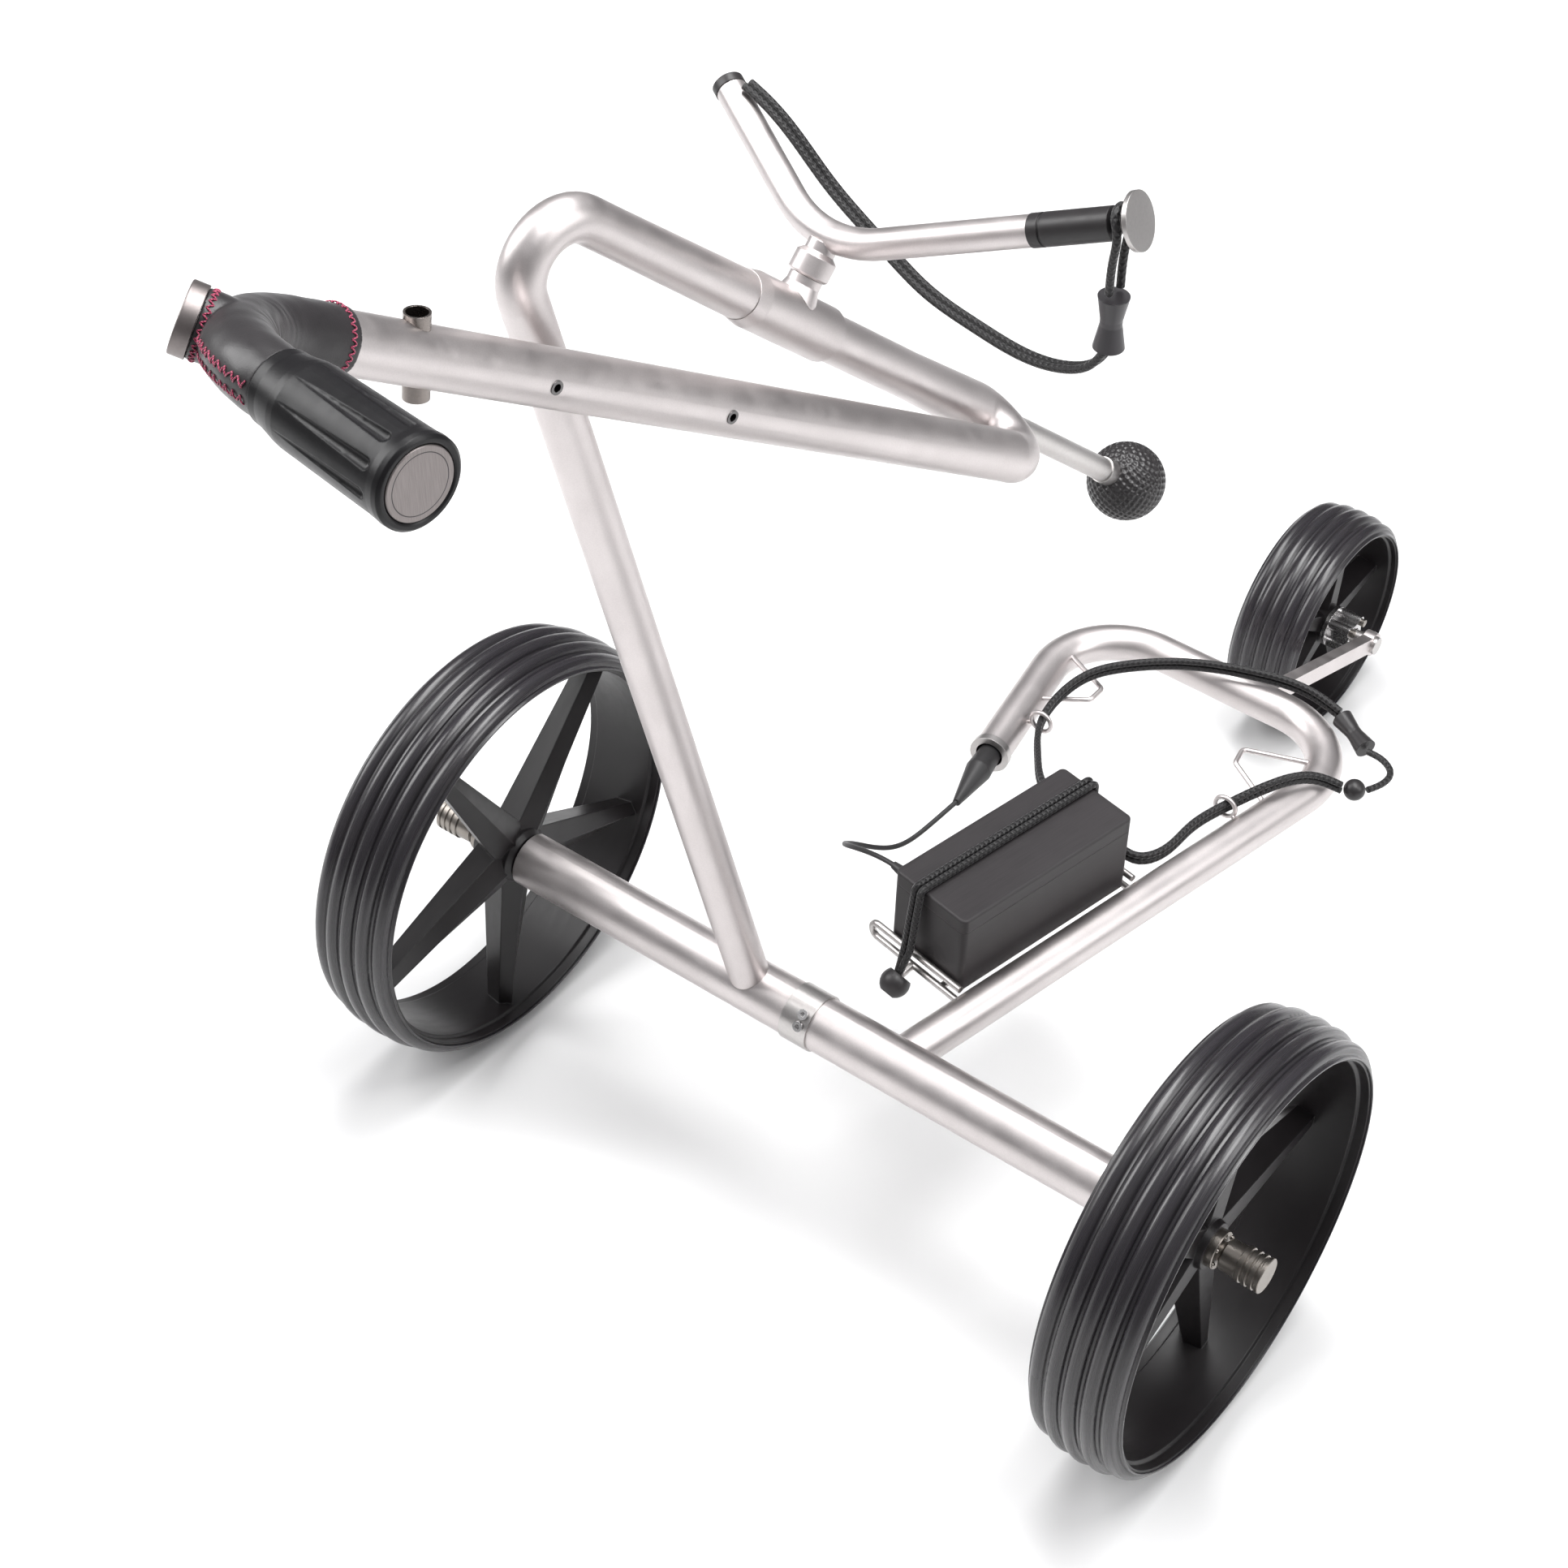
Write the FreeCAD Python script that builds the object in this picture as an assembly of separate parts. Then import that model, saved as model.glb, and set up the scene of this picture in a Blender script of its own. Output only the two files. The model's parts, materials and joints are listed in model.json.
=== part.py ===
import FreeCAD, Part
import math
import os

# Electric golf trolley: three wheels, a motor-driven rear axle, a bent drawbar with a
# height-adjustable handle and two bag supports.
# Modelling frame: +X right, +Y the way it travels, +Z up, zero on the ground under the axle.
# Every part is moved back by LENGTH_MIDDLE as it is saved, which puts the part's own origin
# on the ground under the middle of its overall box. Millimetres and degrees throughout.

# ---------------------------------------------------------------- driving dimensions
REAR_WHEEL_R = 140.0
REAR_TYRE_WIDTH = 60.0
TRACK = 518.0
FRONT_WHEEL_R = 81.4
FRONT_TYRE_WIDTH = 51.0
WHEELBASE = 576.4
LENGTH_MIDDLE = 133.5

AXLE_R = 17.0
AXLE_BORE_R = 15.2
AXLE_END = 231.0
CLAMP_RING_INNER_X = -25.0
CLAMP_RING_OUTER_X = -6.0

FRAME_TUBE_R = 12.2
FRAME_TUBE_WALL = 1.5
FRAME_BEND_R = 52.0

COLUMN_X = -57.4
COLUMN_TUBE_R = 12.2
COLUMN_TUBE_WALL = 1.5
COLUMN_LEAN = 14.2
COLUMN_BEND_R = 25.5
DRAWBAR_YAW = 9.0
DRAWBAR_SIDE_LEAN = 3.0

UPPER_SLOPE = 40.8
SLEEVE_END_FORWARD = 59.1
SLEEVE_END_UP = 430.9
SLEEVE_R = 15.2
SLEEVE_LENGTH = 76.0
SLEEVE_OVERLAP = 12.0
SLEEVE_TAPER = 9.0
SLEEVE_MOUTH = 2.5
SLEEVE_MOUTH_R = 14.4
UPPER_TUBE_END_R = 13.4

INNER_TUBE_R = 13.0
INNER_TUBE_INSERTION = 46.0
HAIRPIN_AT = 155.0
HAIRPIN_TAPER = 70.0

HANDLE_OFFSET = 36.0
HANDLE_SLOPE = 32.15
HANDLE_FORWARD = 78.2
HANDLE_UP = 374.3
HANDLE_TUBE_R = 14.6
HANDLE_TUBE_WALL = 1.6
HANDLE_TO_CORNER = 501.2
GRIP_YAW = -10.0
GRIP_PITCH = 2.2
GRIP_BEND_R = 68.0
LEATHER_THICKNESS = 1.6
LEATHER_BEFORE_CORNER = 92.0
GRIP_START = 74.0
GRIP_END = 162.6
GRIP_R = 21.0

BALL_R = 24.0
BALL_AT = 339.6
LOCK_ROD_R = 7.2
LOCK_STEP_R = 8.0
LOCK_THREAD_R = 4.0
GUIDE_BUSH_BORE_R = 9.6

BATTERY_LENGTH = 141.5
BATTERY_WIDTH = 60.0
BATTERY_NEAR = 47.5
BATTERY_RIGHT = -14.9
BATTERY_BOTTOM = 143.0
BATTERY_TOP = 200.0

RUNNING_GAP = 0.05

AXLE_Z = REAR_WHEEL_R
FRONT_AXLE_Z = FRONT_WHEEL_R
WHEEL_X = TRACK / 2.0


# ---------------------------------------------------------------- helpers
def vec(x, y, z):
    return FreeCAD.Vector(x, y, z)


X_AXIS = vec(1, 0, 0)
Y_AXIS = vec(0, 1, 0)
Z_AXIS = vec(0, 0, 1)


def save(node, shape):
    """Moves a part into its own frame and writes parts/NODE.step."""
    placed = shape.copy()
    placed.translate(vec(0, -LENGTH_MIDDLE, 0))
    placed.exportStep("parts/" + node + ".step")


def unit(v):
    return vec(v.x, v.y, v.z).normalize()


def rod(start, end, radius):
    return Part.makeCylinder(radius, (end - start).Length, start, end - start)


def ring(start, end, outer, inner):
    return rod(start, end, outer).cut(rod(start, end, inner))


def cone(start, end, start_r, end_r):
    return Part.makeCone(start_r, end_r, (end - start).Length, start, end - start)


def bent_wire(corners, radii):
    """Straight runs through the corner points, with an arc of the given radius at each inner corner."""
    edges = []
    start = corners[0]
    for i in range(1, len(corners) - 1):
        back = unit(corners[i - 1] - corners[i])
        ahead = unit(corners[i + 1] - corners[i])
        half = back.getAngle(ahead) / 2.0
        radius = radii[i - 1]
        reach = radius / math.tan(half)
        middle = unit(back + ahead) * (radius / math.sin(half) - radius)
        arc_start = corners[i] + back * reach
        arc_end = corners[i] + ahead * reach
        edges.append(Part.LineSegment(start, arc_start).toShape())
        edges.append(Part.Arc(arc_start, corners[i] + middle, arc_end).toShape())
        start = arc_end
    edges.append(Part.LineSegment(start, corners[-1]).toShape())
    return Part.Wire(edges)


def smooth_wire(points):
    curve = Part.BSplineCurve()
    curve.interpolate(points)
    return Part.Wire([curve.toShape()])


def sweep(path, radius):
    """A round solid along a wire."""
    first = path.Edges[0]
    start = first.valueAt(first.FirstParameter)
    heading = first.tangentAt(first.FirstParameter)
    circle = Part.Wire([Part.Circle(start, heading, radius).toShape()])
    return path.makePipeShell([circle], True, True)


def swept_tube(path, outer, inner):
    return sweep(path, outer).cut(sweep(path, inner))


def spin(outline, centre, axis):
    """Revolves a closed list of edges into a solid."""
    face = Part.Face(Part.Wire(outline))
    return face.revolve(centre, axis, 360)


def polyline(points):
    closed = points + [points[0]]
    return [Part.LineSegment(a, b).toShape() for a, b in zip(closed, closed[1:])]


def around_x(points):
    """Outline points given as (x, radius), drawn in the plane above the X axis."""
    return [vec(x, 0, r) for x, r in points]


def turned(shape, centre, axis, angle):
    copy = shape.copy()
    copy.rotate(centre, axis, angle)
    return copy


def fused(shapes):
    return shapes[0].fuse(shapes[1:]).removeSplitter()


# ---------------------------------------------------------------- wheels
def tyre(centre, radius, bore, width, drop, ribs):
    """A ribbed solid tyre: each rib is an arc, and the tread falls away to rounded shoulders."""
    groove_depth = 0.022 * radius + 0.6
    groove_half = 0.8
    edge_inset = 1.2
    edges = []
    half = width / 2.0

    def tread(x):
        return radius - drop * (abs(x) / half) ** 2.4

    corners = []
    for i in range(ribs):
        left = -half + edge_inset + (width - 2 * edge_inset) * i / ribs
        right = -half + edge_inset + (width - 2 * edge_inset) * (i + 1) / ribs
        corners.append((left + groove_half, right - groove_half))
    start = vec(-half, 0, bore)
    side = vec(-half, 0, tread(half) - 3.0)
    edges.append(Part.LineSegment(start, side).toShape())
    last = side
    for i, (left, right) in enumerate(corners):
        low_left = tread(left) - groove_depth
        low_right = tread(right) - groove_depth
        first = vec(left, 0, low_left)
        final = vec(right, 0, low_right)
        middle = vec((left + right) / 2.0, 0, tread((left + right) / 2.0))
        edges.append(Part.LineSegment(last, first).toShape())
        edges.append(Part.Arc(first, middle, final).toShape())
        last = final
    far_side = vec(half, 0, tread(half) - 3.0)
    end = vec(half, 0, bore)
    edges.append(Part.LineSegment(last, far_side).toShape())
    edges.append(Part.LineSegment(far_side, end).toShape())
    edges.append(Part.LineSegment(end, start).toShape())
    solid = spin(edges, vec(0, 0, 0), X_AXIS)
    solid.translate(centre)
    return solid


def spoke(angle, hub, rim):
    """A roof-ridged spoke along +Y, turned about X. hub and rim are (reach, width, inner x, outer x)."""
    ridge = 6.0
    outer_share = 0.62

    def section(reach, width, inner_x, outer_x):
        half = width / 2.0
        points = [
            vec(inner_x, reach, 0),
            vec(inner_x + ridge, reach, half),
            vec(outer_x, reach, half * outer_share),
            vec(outer_x, reach, -half * outer_share),
            vec(inner_x + ridge, reach, -half),
        ]
        return Part.Wire(polyline(points))

    blade = Part.makeLoft([section(*hub), section(*rim)], True, True)
    return turned(blade, vec(0, 0, 0), X_AXIS, angle)


def rear_rim(side, phase):
    """Barrel, five spokes and hub, moulded in one. Drawn for the right wheel about the X axis."""
    tyre_bore = 129.0
    barrel_r = 125.4
    lip_r = 127.4
    left = WHEEL_X - REAR_TYRE_WIDTH / 2.0 + 1.2
    right = WHEEL_X + REAR_TYRE_WIDTH / 2.0 - 1.2
    lip = 6.0
    barrel = spin(
        polyline(around_x([
            (left, tyre_bore), (left, lip_r), (left + lip, lip_r), (left + lip + 1, barrel_r),
            (right - lip - 1, barrel_r), (right - lip, lip_r), (right, lip_r), (right, tyre_bore),
        ])), vec(0, 0, 0), X_AXIS)
    hub_profile = [(233, 0), (233, 15.5), (236, 18.5), (250, 18.5), (265, 14.5), (265, 0)]
    hub = spin(polyline(around_x(hub_profile)), vec(0, 0, 0), X_AXIS)
    spokes = [spoke(phase + 72 * i, (8, 30, 234.5, 261), (126.4, 11, 240, 257)) for i in range(5)]
    rim = fused([barrel, hub] + spokes)
    rim = rim.cut(rod(vec(220, 0, 0), vec(280, 0, 0), 8.0))
    return on_axle(rim, side)


def on_axle(shape, side):
    """Takes a right-hand shape drawn about the X axis to the axle, mirrored for side -1."""
    placed = shape if side > 0 else shape.mirror(vec(0, 0, 0), X_AXIS)
    placed = placed.copy()
    placed.translate(vec(0, 0, AXLE_Z))
    return placed


def rear_tyre(side):
    centre = vec(side * WHEEL_X, 0, AXLE_Z)
    return tyre(centre, REAR_WHEEL_R, 129.0, REAR_TYRE_WIDTH, 7.0, 5)


def drive_shaft(side):
    """Gearbox carrier, output shaft and the flanged bush that carries the wheel."""
    profile = [
        (160, 0), (160, 10), (167, 10), (167, 6), (232.2, 6), (232.2, 8), (265, 8),
        (265, 11.8), (269.5, 11.8), (270, 11.3), (270, 6), (284, 6), (284, 0),
    ]
    shaft = spin(polyline(around_x(profile)), vec(0, 0, 0), X_AXIS)
    balls = []
    for i in range(6):
        a = math.radians(60 * i + 15)
        spot = vec(270, 9.9 * math.cos(a), 9.9 * math.sin(a))
        balls.append(Part.makeSphere(1.5, spot))
    return on_axle(fused([shaft] + balls), side)


def release_knob(side):
    """Push-off sleeve of the wheel's quick release: slim neck, three grip grooves, flat face."""
    profile = [
        (272.2, 6 + RUNNING_GAP), (272.2, 8.6), (273.4, 9.7), (283, 10.0), (283.6, 10.9),
        (286.4, 10.9), (286.9, 10.1), (287.9, 10.1), (288.4, 10.9),
        (290.6, 10.9), (291.1, 10.1), (292.1, 10.1), (292.6, 10.9),
        (294.8, 10.9), (295.3, 10.1), (296.2, 10.1), (296.7, 10.9), (298.6, 10.9),
        (299, 10.5), (299, 0), (291, 0), (291, 6 + RUNNING_GAP),
    ]
    return on_axle(spin(polyline(around_x(profile)), vec(0, 0, 0), X_AXIS), side)


def gearmotor(side):
    """Motor can with magnets and the planetary gearbox casing, one tube that fits the axle."""
    can_r = AXLE_BORE_R - 0.05
    body = rod(vec(95, 0, 0), vec(205, 0, 0), can_r)
    motor_room = rod(vec(98, 0, 0), vec(149, 0, 0), 11.0)
    gear_room = rod(vec(153, 0, 0), vec(201, 0, 0), 12.6)
    rotor_bore = rod(vec(94, 0, 0), vec(160, 0, 0), 2.5 + RUNNING_GAP)
    output_bore = rod(vec(190, 0, 0), vec(206, 0, 0), 6.0 + RUNNING_GAP)
    for tool in (motor_room, gear_room, rotor_bore, output_bore):
        body = body.cut(tool)
    return on_axle(body, side)


def rotor(side):
    """Wound rotor on its shaft, with the sun pinion at the gearbox end."""
    shapes = [
        rod(vec(92, 0, 0), vec(154, 0, 0), 2.5),
        rod(vec(104, 0, 0), vec(138, 0, 0), 10.0),
        rod(vec(140, 0, 0), vec(147, 0, 0), 6.0),
        rod(vec(154, 0, 0), vec(158.5, 0, 0), 3.6),
    ]
    return on_axle(fused(shapes), side)


def axle_bearing(side):
    bearing = ring(vec(215, 0, 0), vec(227, 0, 0), AXLE_BORE_R, 6.0 + RUNNING_GAP)
    return on_axle(bearing, side)


def front_rim():
    """The small wheel's barrel, five spokes and hub, moulded in one."""
    half = FRONT_TYRE_WIDTH / 2.0 - 1.0
    barrel = spin(
        polyline(around_x([
            (-half, 72.5), (-half, 71.2), (-half + 4, 71.2), (-half + 5, 69.6),
            (half - 5, 69.6), (half - 4, 71.2), (half, 71.2), (half, 72.5),
        ])), vec(0, 0, 0), X_AXIS)
    hub = rod(vec(-15, 0, 0), vec(14, 0, 0), 13.0)
    spokes = [spoke(5 + 72 * i, (6, 20, -13, 12), (70.6, 8, -10, 10)) for i in range(5)]
    rim = fused([barrel, hub] + spokes)
    rim = rim.cut(rod(vec(-30, 0, 0), vec(30, 0, 0), 8.0))
    rim.translate(vec(0, WHEELBASE, FRONT_AXLE_Z))
    return rim


def front_bearings():
    """Two flanged bearings in the front hub."""
    centre = vec(0, WHEELBASE, FRONT_AXLE_Z)
    pair = []
    for start, end in ((-15, -9), (8, 14)):
        pair.append(ring(centre + X_AXIS * start, centre + X_AXIS * end, 8.0, 5.0 + RUNNING_GAP))
    return Part.makeCompound(pair)


HUB_LOBE_R = 3.9
HUB_BOLT_CIRCLE_R = 10.6


def hub_bolt_spots():
    """Four points round the front axle, in the wheel's middle plane, for the hub's bolts."""
    spots = []
    for i in range(4):
        a = math.radians(90 * i + 45)
        around = vec(0, math.cos(a), math.sin(a)) * HUB_BOLT_CIRCLE_R
        spots.append(vec(0, WHEELBASE, FRONT_AXLE_Z) + around)
    return spots


def front_hub_block():
    """Four-lobed metal hub piece on the wheel's outer side."""
    centre = vec(0, WHEELBASE, FRONT_AXLE_Z)
    inner = centre + X_AXIS * 14
    outer = centre + X_AXIS * 33
    solid = [rod(inner, centre + X_AXIS * 17, 14.6), rod(inner, outer, 9.0)]
    solid += [rod(spot + X_AXIS * 14, spot + X_AXIS * 33, HUB_LOBE_R) for spot in hub_bolt_spots()]
    block = fused(solid).cut(rod(inner - X_AXIS, outer + X_AXIS, 5.6))
    for spot in hub_bolt_spots():
        block = block.cut(rod(spot + X_AXIS * 13, spot + X_AXIS * 34, 1.75))
    return block


def front_hub_bolts():
    bolts = []
    for spot in hub_bolt_spots():
        shank = rod(spot + X_AXIS * 14.2, spot + X_AXIS * 33.1, 1.7)
        head = rod(spot + X_AXIS * 33.1, spot + X_AXIS * 36.0, 2.7)
        bolts.append(fused([shank, head]))
    return Part.makeCompound(bolts)


# ---------------------------------------------------------------- axle and lower frame
def axle_tube_right():
    return ring(vec(CLAMP_RING_OUTER_X, 0, AXLE_Z), vec(AXLE_END, 0, AXLE_Z), AXLE_R, AXLE_BORE_R)


def axle_tube_left():
    return ring(vec(-AXLE_END, 0, AXLE_Z), vec(CLAMP_RING_INNER_X - 0.1, 0, AXLE_Z), AXLE_R, AXLE_BORE_R)


def axle_spigot():
    """Hollow spigot: tight in the left half, free to turn in the clamp ring and the right half."""
    joint = CLAMP_RING_INNER_X - 0.1
    tight = rod(vec(joint - 50, 0, AXLE_Z), vec(joint, 0, AXLE_Z), AXLE_BORE_R)
    free = rod(vec(joint, 0, AXLE_Z), vec(40, 0, AXLE_Z), AXLE_BORE_R - 0.07)
    core = rod(vec(joint - 50, 0, AXLE_Z), vec(40, 0, AXLE_Z), 12.0)
    return tight.fuse(free).cut(core)


CLAMP_RING_R = 18.2
CLAMP_SCREW_SPOTS = ((-11.5, 27.0), (-11.5, 50.0))


def clamp_screw_axis(x, elevation):
    """Point on the axle's axis and outward direction of one clamp screw."""
    a = math.radians(elevation)
    return vec(x, 0, AXLE_Z), vec(0, -math.cos(a), math.sin(a))


def axle_clamp_ring():
    inner = vec(CLAMP_RING_INNER_X, 0, AXLE_Z)
    outer = vec(CLAMP_RING_OUTER_X, 0, AXLE_Z)
    clamp = ring(inner, outer, CLAMP_RING_R, AXLE_BORE_R)
    for x, elevation in CLAMP_SCREW_SPOTS:
        foot, out = clamp_screw_axis(x, elevation)
        clamp = clamp.cut(rod(foot + out * 5, foot + out * 22, 2.6))
    return clamp


def clamp_screws():
    screws = []
    for x, elevation in CLAMP_SCREW_SPOTS:
        foot, out = clamp_screw_axis(x, elevation)
        shank = rod(foot + out * 15.4, foot + out * 18.4, 2.5)
        head = rod(foot + out * 18.4, foot + out * 20.0, 3.3)
        socket = rod(foot + out * 17.6, foot + out * 20.5, 1.5)
        screws.append(shank.fuse(head).cut(socket))
    return Part.makeCompound(screws)


LEG_YAW = 11.35
LEG_START = vec(49.0, 20.0, AXLE_Z)
LEG_ALONG = vec(math.sin(math.radians(LEG_YAW)), math.cos(math.radians(LEG_YAW)), 0)
LEG_ACROSS = vec(math.cos(math.radians(LEG_YAW)), -math.sin(math.radians(LEG_YAW)), 0)
FRONT_BAR_Y = 413.0
FREE_END = vec(-64.0, 262.0, AXLE_Z)
FREE_CORNER = vec(-92.0, FRONT_BAR_Y, AXLE_Z)
FREE_LEG = unit(FREE_CORNER - FREE_END)


def by_leg(along, across, z):
    """A point given along the right leg, across it (positive to the right), and by height."""
    flat = LEG_START + LEG_ALONG * along + LEG_ACROSS * across
    return vec(flat.x, flat.y, z)


def frame_path():
    run = (FRONT_BAR_Y - LEG_START.y) / LEG_ALONG.y
    right_corner = LEG_START + LEG_ALONG * run
    left_corner = FREE_CORNER
    base = LEG_START - LEG_ALONG * 18.0
    return bent_wire([base, right_corner, left_corner, FREE_END], [FRAME_BEND_R, FRAME_BEND_R])


def lower_frame_tube():
    tube = swept_tube(frame_path(), FRAME_TUBE_R, FRAME_TUBE_R - FRAME_TUBE_WALL)
    return tube.cut(rod(vec(0, 0, AXLE_Z), vec(120, 0, AXLE_Z), AXLE_R))


def frame_end_socket():
    """Power socket in the free end of the frame tube, with a bright collar."""
    collar = ring(FREE_END - FREE_LEG * 5, FREE_END, 13.4, 9.0)
    body = ring(FREE_END, FREE_END + FREE_LEG * 22, FRAME_TUBE_R - FRAME_TUBE_WALL - 0.05, 9.0)
    return collar.fuse(body)


PLUG_LENGTH = 56.0


def battery_cable():
    """Moulded plug with its tapered boot, and the thin cable to the battery."""
    back = FREE_LEG * -1.0
    pin = rod(FREE_END - back * 18, FREE_END + back * 6, 7.6)
    body = cone(FREE_END + back * 6, FREE_END + back * 22, 7.6, 8.6)
    waist = cone(FREE_END + back * 22, FREE_END + back * PLUG_LENGTH, 8.6, 2.6)
    tip = FREE_END + back * (PLUG_LENGTH - 2)
    landing = by_leg(BATTERY_NEAR + 8, BATTERY_RIGHT - BATTERY_WIDTH - 0.1, 192)
    points = [
        tip, vec(-57, 178, 137), vec(-63, 150, 138), vec(-75, 128, 150),
        vec(-70, 108, 168), vec(-47, 96, 185), landing - LEG_ACROSS * 6, landing,
    ]
    cable = sweep(smooth_wire(points), 1.6)
    relief = cone(landing, landing - LEG_ACROSS * 9, 3.6, 2.4)
    return fused([pin, body, waist, cable, relief])


def battery_box(bottom, top, inset):
    """An upright block on the battery's footprint, drawn in by inset on each side."""
    corners = [
        by_leg(BATTERY_NEAR + inset, BATTERY_RIGHT - inset, bottom),
        by_leg(BATTERY_NEAR + BATTERY_LENGTH - inset, BATTERY_RIGHT - inset, bottom),
        by_leg(BATTERY_NEAR + BATTERY_LENGTH - inset, BATTERY_RIGHT - BATTERY_WIDTH + inset, bottom),
        by_leg(BATTERY_NEAR + inset, BATTERY_RIGHT - BATTERY_WIDTH + inset, bottom),
    ]
    return Part.Face(Part.Wire(polyline(corners))).extrude(vec(0, 0, top - bottom))


def upright_edges(shape):
    return [e for e in shape.Edges if abs(e.tangentAt(e.FirstParameter).z) > 0.99]


LID_SPLIT = BATTERY_TOP - 10.0


def battery_case():
    block = battery_box(BATTERY_BOTTOM, LID_SPLIT, 0)
    block = block.makeFillet(4.0, upright_edges(block))
    room = battery_box(BATTERY_BOTTOM + 3, LID_SPLIT + 1, 3)
    return block.cut(room)


def battery_lid():
    block = battery_box(LID_SPLIT + 0.1, BATTERY_TOP, 0)
    block = block.makeFillet(4.0, upright_edges(block))
    top_edges = [e for e in block.Edges if e.BoundBox.ZMin > BATTERY_TOP - 0.01]
    return block.makeFillet(1.6, top_edges)


def battery_cells():
    """Eight cylindrical cells in two rows of four."""
    cells = []
    for along in (BATTERY_NEAR + 4.0, BATTERY_NEAR + 72.0):
        for across in (BATTERY_RIGHT - 15.0, BATTERY_RIGHT - 45.0):
            for z in (BATTERY_BOTTOM + 13.0, BATTERY_BOTTOM + 33.5):
                cells.append(rod(by_leg(along, across, z), by_leg(along + 65, across, z), 9.1))
    return Part.makeCompound(cells)


CRADLE_WIRE_R = 2.2
CRADLE_NEAR = 45.0
CRADLE_FAR = 192.0
HOOK_ACROSS = -52.0


def battery_cradle():
    """Welded wire cradle: a hairpin before and behind the battery, two bearers, and the hook."""
    wires = []
    for along in (CRADLE_NEAR, CRADLE_FAR):
        left_end = -88.0
        hairpin = bent_wire([
            by_leg(along, -11.5, 149), by_leg(along, left_end, 149),
            by_leg(along, left_end, 138.5), by_leg(along, -10, 138.5),
        ], [5.0, 5.0])
        wires.append(sweep(hairpin, CRADLE_WIRE_R))
    for across in (-28.0, -64.0):
        near = by_leg(CRADLE_NEAR, across, 138.6)
        far = by_leg(CRADLE_FAR, across, 138.6)
        wires.append(rod(near, far, CRADLE_WIRE_R))
    hook = bent_wire([
        by_leg(CRADLE_NEAR, HOOK_ACROSS, 138.5), by_leg(CRADLE_NEAR - 9, HOOK_ACROSS, 136.5),
        by_leg(CRADLE_NEAR - 17, HOOK_ACROSS, 131),
    ], [6.0])
    wires.append(sweep(hook, 2.4))
    cradle = fused(wires)
    return cradle.cut(rod(LEG_START - LEG_ALONG * 10, LEG_START + LEG_ALONG * 260, FRAME_TUBE_R))


def strap_button():
    """Rounded rubber toggle on the end of the elastic strap, hung on the cradle's hook."""
    neck = by_leg(CRADLE_NEAR - 9, HOOK_ACROSS, 136.5)
    heading = unit(by_leg(CRADLE_NEAR - 17, HOOK_ACROSS, 131) - neck)
    centre = neck + heading * 6.5
    ball = Part.makeSphere(9.4, centre)
    keep = rod(centre - heading * 5.6, centre + heading * 8.2, 12.0)
    return ball.common(keep).cut(rod(centre - heading * 12, centre + heading * 4.5, 2.45))


STRAP_R = 2.2


def battery_strap():
    """Doubled elastic cord over the battery, from the button to the far hairpin."""
    strands = []
    crown = BATTERY_TOP + STRAP_R + 0.2
    near = BATTERY_NEAR - STRAP_R - 0.4
    far = BATTERY_NEAR + BATTERY_LENGTH + STRAP_R + 0.3
    for shift in (-2.4, 2.4):
        across = HOOK_ACROSS + shift
        path = bent_wire([
            by_leg(38.4, across, 143.6), by_leg(39.2, across, 156), by_leg(near, across, crown),
            by_leg(far, across, crown), by_leg(far, across, 154),
        ], [8.0, 3.2, 3.2])
        strands.append(sweep(path, STRAP_R))
    return Part.makeCompound(strands)


EYELETS = (
    (vec(-49.5, 296.0, 149.0), vec(-66.9, 296.0, 140.0)),
    (vec(87.0, 300.0, 151.0), vec(104.6, 297.0, 140.0)),
)


LOOP_WIRE_R = 1.7
EYELET_WIRE_R = 1.5
EYELET_R = 7.2


def frame_wire_loops():
    """Two cord eyelets and the two triangular bag-rest loops, welded inside the frame."""
    loops = []
    for centre, tube_side in EYELETS:
        loops.append(Part.makeTorus(EYELET_R, EYELET_WIRE_R, centre, Y_AXIS))
        reach = unit(tube_side - centre)
        loops.append(rod(centre + reach * EYELET_R, tube_side, EYELET_WIRE_R))
    left = [vec(-71, 366, 146), vec(-36, 347, 150), vec(-36, 333, 150), vec(-68, 318, 144)]
    right = [vec(106, 374, 146), vec(67, 354, 150), vec(70, 340, 150), vec(106, 322, 144)]
    welded = [sweep(bent_wire(corners, [4.0, 4.0]), LOOP_WIRE_R) for corners in (left, right)]
    welded.append(fused(loops[0:2]))
    welded.append(fused(loops[2:4]))
    tube = sweep(frame_path(), FRAME_TUBE_R)
    return Part.makeCompound([w.cut(tube) for w in welded])


STRUT_X = 45.0


def front_strut():
    """Flat bar from the frame's front bar down to the front axle."""
    top = vec(STRUT_X, FRONT_BAR_Y, AXLE_Z)
    eye = vec(STRUT_X, WHEELBASE, FRONT_AXLE_Z)
    half = X_AXIS * 4.0
    slope = unit(eye - top)
    upward = unit(slope.cross(X_AXIS)) * -6.0
    corners = [top + half + upward, eye + half + upward, eye + half - upward, top + half - upward]
    bar = Part.Face(Part.Wire(polyline(corners))).extrude(half * -2)
    boss = rod(eye - half, eye + half, 8.5)
    bar = fused([bar, boss])
    bar = bar.cut(rod(eye - X_AXIS * 10, eye + X_AXIS * 10, 5.0))
    return bar.cut(sweep(frame_path(), FRAME_TUBE_R))


def front_axle():
    centre = vec(0, WHEELBASE, FRONT_AXLE_Z)
    shaft = rod(centre - X_AXIS * 17, centre + X_AXIS * 49, 5.0)
    head = rod(centre + X_AXIS * 49, centre + X_AXIS * 51.5, 6.4)
    retainer = rod(centre - X_AXIS * 19, centre - X_AXIS * 15.4, 6.6)
    return fused([shaft, head, retainer])


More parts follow.
